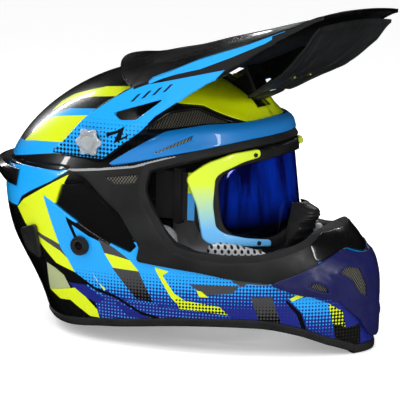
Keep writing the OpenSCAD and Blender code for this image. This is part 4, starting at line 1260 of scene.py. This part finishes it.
STRAP_X = -76
LONG = [[-97.5, 66], [-97.5, 56], [-92, 46], [-86, 37], [-77, 29.5], [-64, 25.5], [-46, 24], [-28, 24],
        [-10, 25], [8, 27], [24, 30]]
SHORT = [[97.5, 66], [97.5, 56], [92, 46], [86.5, 38], [80, 32], [73.5, 29.5]]
RING_Y, RING_Z, WIRE = (71, 67), 29.5, 1.6


def straps():
    for name, points in (("chin_strap_long", LONG), ("chin_strap_short", SHORT)):
        q = np.array(points, float)
        t = np.linspace(0, len(q) - 1, 6 * len(q))
        rows = np.column_stack([np.arange(len(q)), q])
        line = np.array([curve(rows, float(k))[1:] for k in t])
        solid = sweep(np.column_stack([np.full(len(line), STRAP_X), line]), pill(22, 1.8), (1, 0, 0))
        if name == "chin_strap_short":
            loops = []
            for y in RING_Y:
                turn = lathe([(WIRE + 0.08, -10), (WIRE + 0.8, -10), (WIRE + 0.8, 10), (WIRE + 0.08, 10)], 32)
                loops.append(placed(turn, (STRAP_X, y, RING_Z), (1, 0, 0)))
            solid = joined(solid, *loops)
        make(name, solid, strap_web, "helmet", [name], sharp=60)


CLOTH_FRAMES = 20


def swell():
    """Blows the pads up with cloth pressure, with a cap on how far a point may move."""
    scene = bpy.context.scene
    starts = []
    for obj, voxel, cap in pads:
        mod = obj.modifiers.new("remesh", "REMESH")
        mod.mode, mod.voxel_size = "VOXEL", voxel
        materials = list(obj.data.materials)
        mesh = bpy.data.meshes.new_from_object(obj.evaluated_get(bpy.context.evaluated_depsgraph_get()))
        obj.modifiers.remove(mod)
        obj.data = mesh
        mesh.materials.clear()
        for m in materials:
            mesh.materials.append(m)
        mod = obj.modifiers.new("cloth", "CLOTH")
        mod.settings.use_pressure = True
        mod.settings.uniform_pressure_force = 4
        mod.settings.effector_weights.gravity = 0
        mod.point_cache.frame_start, mod.point_cache.frame_end = 1, CLOTH_FRAMES
        starts.append(np.array([v.co[:] for v in mesh.vertices]))
    for f in range(1, CLOTH_FRAMES + 1):
        scene.frame_set(f)
    deps = bpy.context.evaluated_depsgraph_get()
    for (obj, voxel, cap), start in zip(pads, starts):
        end = np.array([v.co[:] for v in obj.evaluated_get(deps).data.vertices])
        move = end - start
        far = np.linalg.norm(move, axis=1, keepdims=True)
        place = start + move * np.minimum(1, cap / np.maximum(far, 1e-9))
        obj.modifiers.remove(obj.modifiers["cloth"])
        obj.data.vertices.foreach_set("co", place.ravel())
        obj.data.shade_smooth()
        mod = obj.modifiers.new("smooth", "SUBSURF")
        mod.levels = mod.render_levels = 1
    scene.frame_set(1)


# ---------------------------------------------------------------- CAD nodes that stay, with their finish
def finishes():
    kept = {"plug_screw_left": dark_steel, "plug_screw_right": dark_steel, "visor_duct_screws": brass,
            "visor_bush_left": charcoal, "visor_bush_right": charcoal, "visor_bracket": gloss_black,
            "visor_centre_screw": dark_steel, "d_ring_outer": steel, "d_ring_inner": steel,
            "strap_rivets": steel, "outrigger_pins": frame_black, "strap_slider_left": frame_black,
            "strap_slider_right": frame_black}
    for name, material in kept.items():
        for obj in node_objects(name):
            for s in obj.material_slots:
                s.material = material


def node_objects(name):
    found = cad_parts[name]
    return found if isinstance(found, (list, tuple)) else [found]


# ---------------------------------------------------------------- light, floor and camera
def light(name, place, target, size, power, shine=True):
    data = bpy.data.lights.new(name, "AREA")
    data.shape, data.size, data.size_y, data.energy = "RECTANGLE", *size, power
    obj = bpy.data.objects.new(name, data)
    obj.location = place
    obj.rotation_mode = "QUATERNION"
    obj.rotation_quaternion = (Vector(target) - Vector(place)).to_track_quat("-Z", "Y")
    obj.visible_glossy = shine
    bpy.context.scene.collection.objects.link(obj)


LIT_BY_WORLD, SEEN_WORLD = 0.72, 1.0  # the world's strength as light, and as a backdrop
FLOOR_GLOW = 0.3


def studio():
    world = bpy.data.worlds.new("studio")
    bpy.context.scene.world = world
    world.use_nodes = True
    tree = world.node_tree
    shade = tree.nodes["Background"]
    path = tree.nodes.new("ShaderNodeLightPath")
    mix = tree.nodes.new("ShaderNodeMix")
    mix.data_type = "FLOAT"
    mix.inputs[2].default_value = LIT_BY_WORLD
    mix.inputs[3].default_value = SEEN_WORLD
    tree.links.new(path.outputs["Is Camera Ray"], mix.inputs[0])
    tree.links.new(mix.outputs[0], shade.inputs["Strength"])
    world.cycles_visibility.glossy = False
    shade.inputs["Color"].default_value = (1, 1, 1, 1)
    mesh = bpy.data.meshes.new("floor")
    s = 8.0
    mesh.from_pydata([(-s, -s, 0), (s, -s, 0), (s, s, 0), (-s, s, 0)], [], [(0, 1, 2, 3)])
    floor = bpy.data.objects.new("floor", mesh)
    bpy.context.scene.collection.objects.link(floor)
    m = Nodes("floor", (0.9, 0.9, 0.9), 0.9, spec=0.1)
    m.color(m.blend(m.noise(3), (0.955, 0.955, 0.955), (0.97, 0.97, 0.97)))
    m.shader.inputs["Emission Color"].default_value = (1, 1, 1, 1)
    m.shader.inputs["Emission Strength"].default_value = FLOOR_GLOW
    mesh.materials.append(m.mat)
    floor.visible_glossy = False
    light("key", (0.3, -1.1, 1.5), (0, 0, 0.15), (0.9, 0.5), 6, shine=False)
    light("back", (-0.5, 1.3, 1.0), (0, 0, 0.15), (1.0, 0.6), 3.5, shine=False)
    light("top_strip", (0.1, -0.5, 1.5), (0, 0, 0.15), (0.9, 0.12), 5)
    light("left_strip", (-1.1, -0.9, 0.9), (-0.05, 0, 0.15), (0.12, 0.9), 5)
    light("front_strip", (1.4, -0.5, 0.7), (0.05, 0, 0.13), (0.12, 0.8), 4)
    light("rim_strip", (-1.1, 0.45, 0.75), (-0.05, 0, 0.15), (0.05, 0.7), 5)
    light("high_strip", (-0.2, 1.2, 1.1), (0, 0, 0.2), (1.2, 0.05), 5)
    light("low_glow", (0.5, -1.6, 0.5), (0, 0, 0.12), (2.2, 1.0), 2)


def camera():
    """Stands where the view turns 26 degrees to the front and looks down 9.5 degrees."""
    az, el, roll, far = math.radians(26), math.radians(9.5), math.radians(1.5), 1.15
    back = Vector((math.sin(az) * math.cos(el), -math.cos(az) * math.cos(el), math.sin(el)))
    right = Vector((math.cos(az), math.sin(az), 0))
    up = back.cross(right)
    r = right * math.cos(roll) + up * math.sin(roll)
    u = up * math.cos(roll) - right * math.sin(roll)
    turn = Matrix((r, u, back)).transposed()
    aim = Vector((-0.0062, 0.028, -1)).normalized().rotation_difference(Vector((0, 0, -1)))
    data = bpy.data.cameras.new("camera")
    data.lens, data.sensor_width, data.clip_start = 115.9, 36, 0.05
    obj = bpy.data.objects.new("camera", data)
    place = Matrix.Translation(Vector((0.004, 0, 0.143)) + back * far)
    obj.matrix_world = place @ (turn @ aim.to_matrix()).to_4x4()
    bpy.context.scene.collection.objects.link(obj)
    bpy.context.scene.camera = obj
    bpy.context.scene.view_settings.view_transform = "Standard"


camera()
studio()
shell()
body_pieces()
edges()
spoiler()
plugs()
visor()
duct()
knobs()
goggles()
linings()
straps()
finishes()
swell()
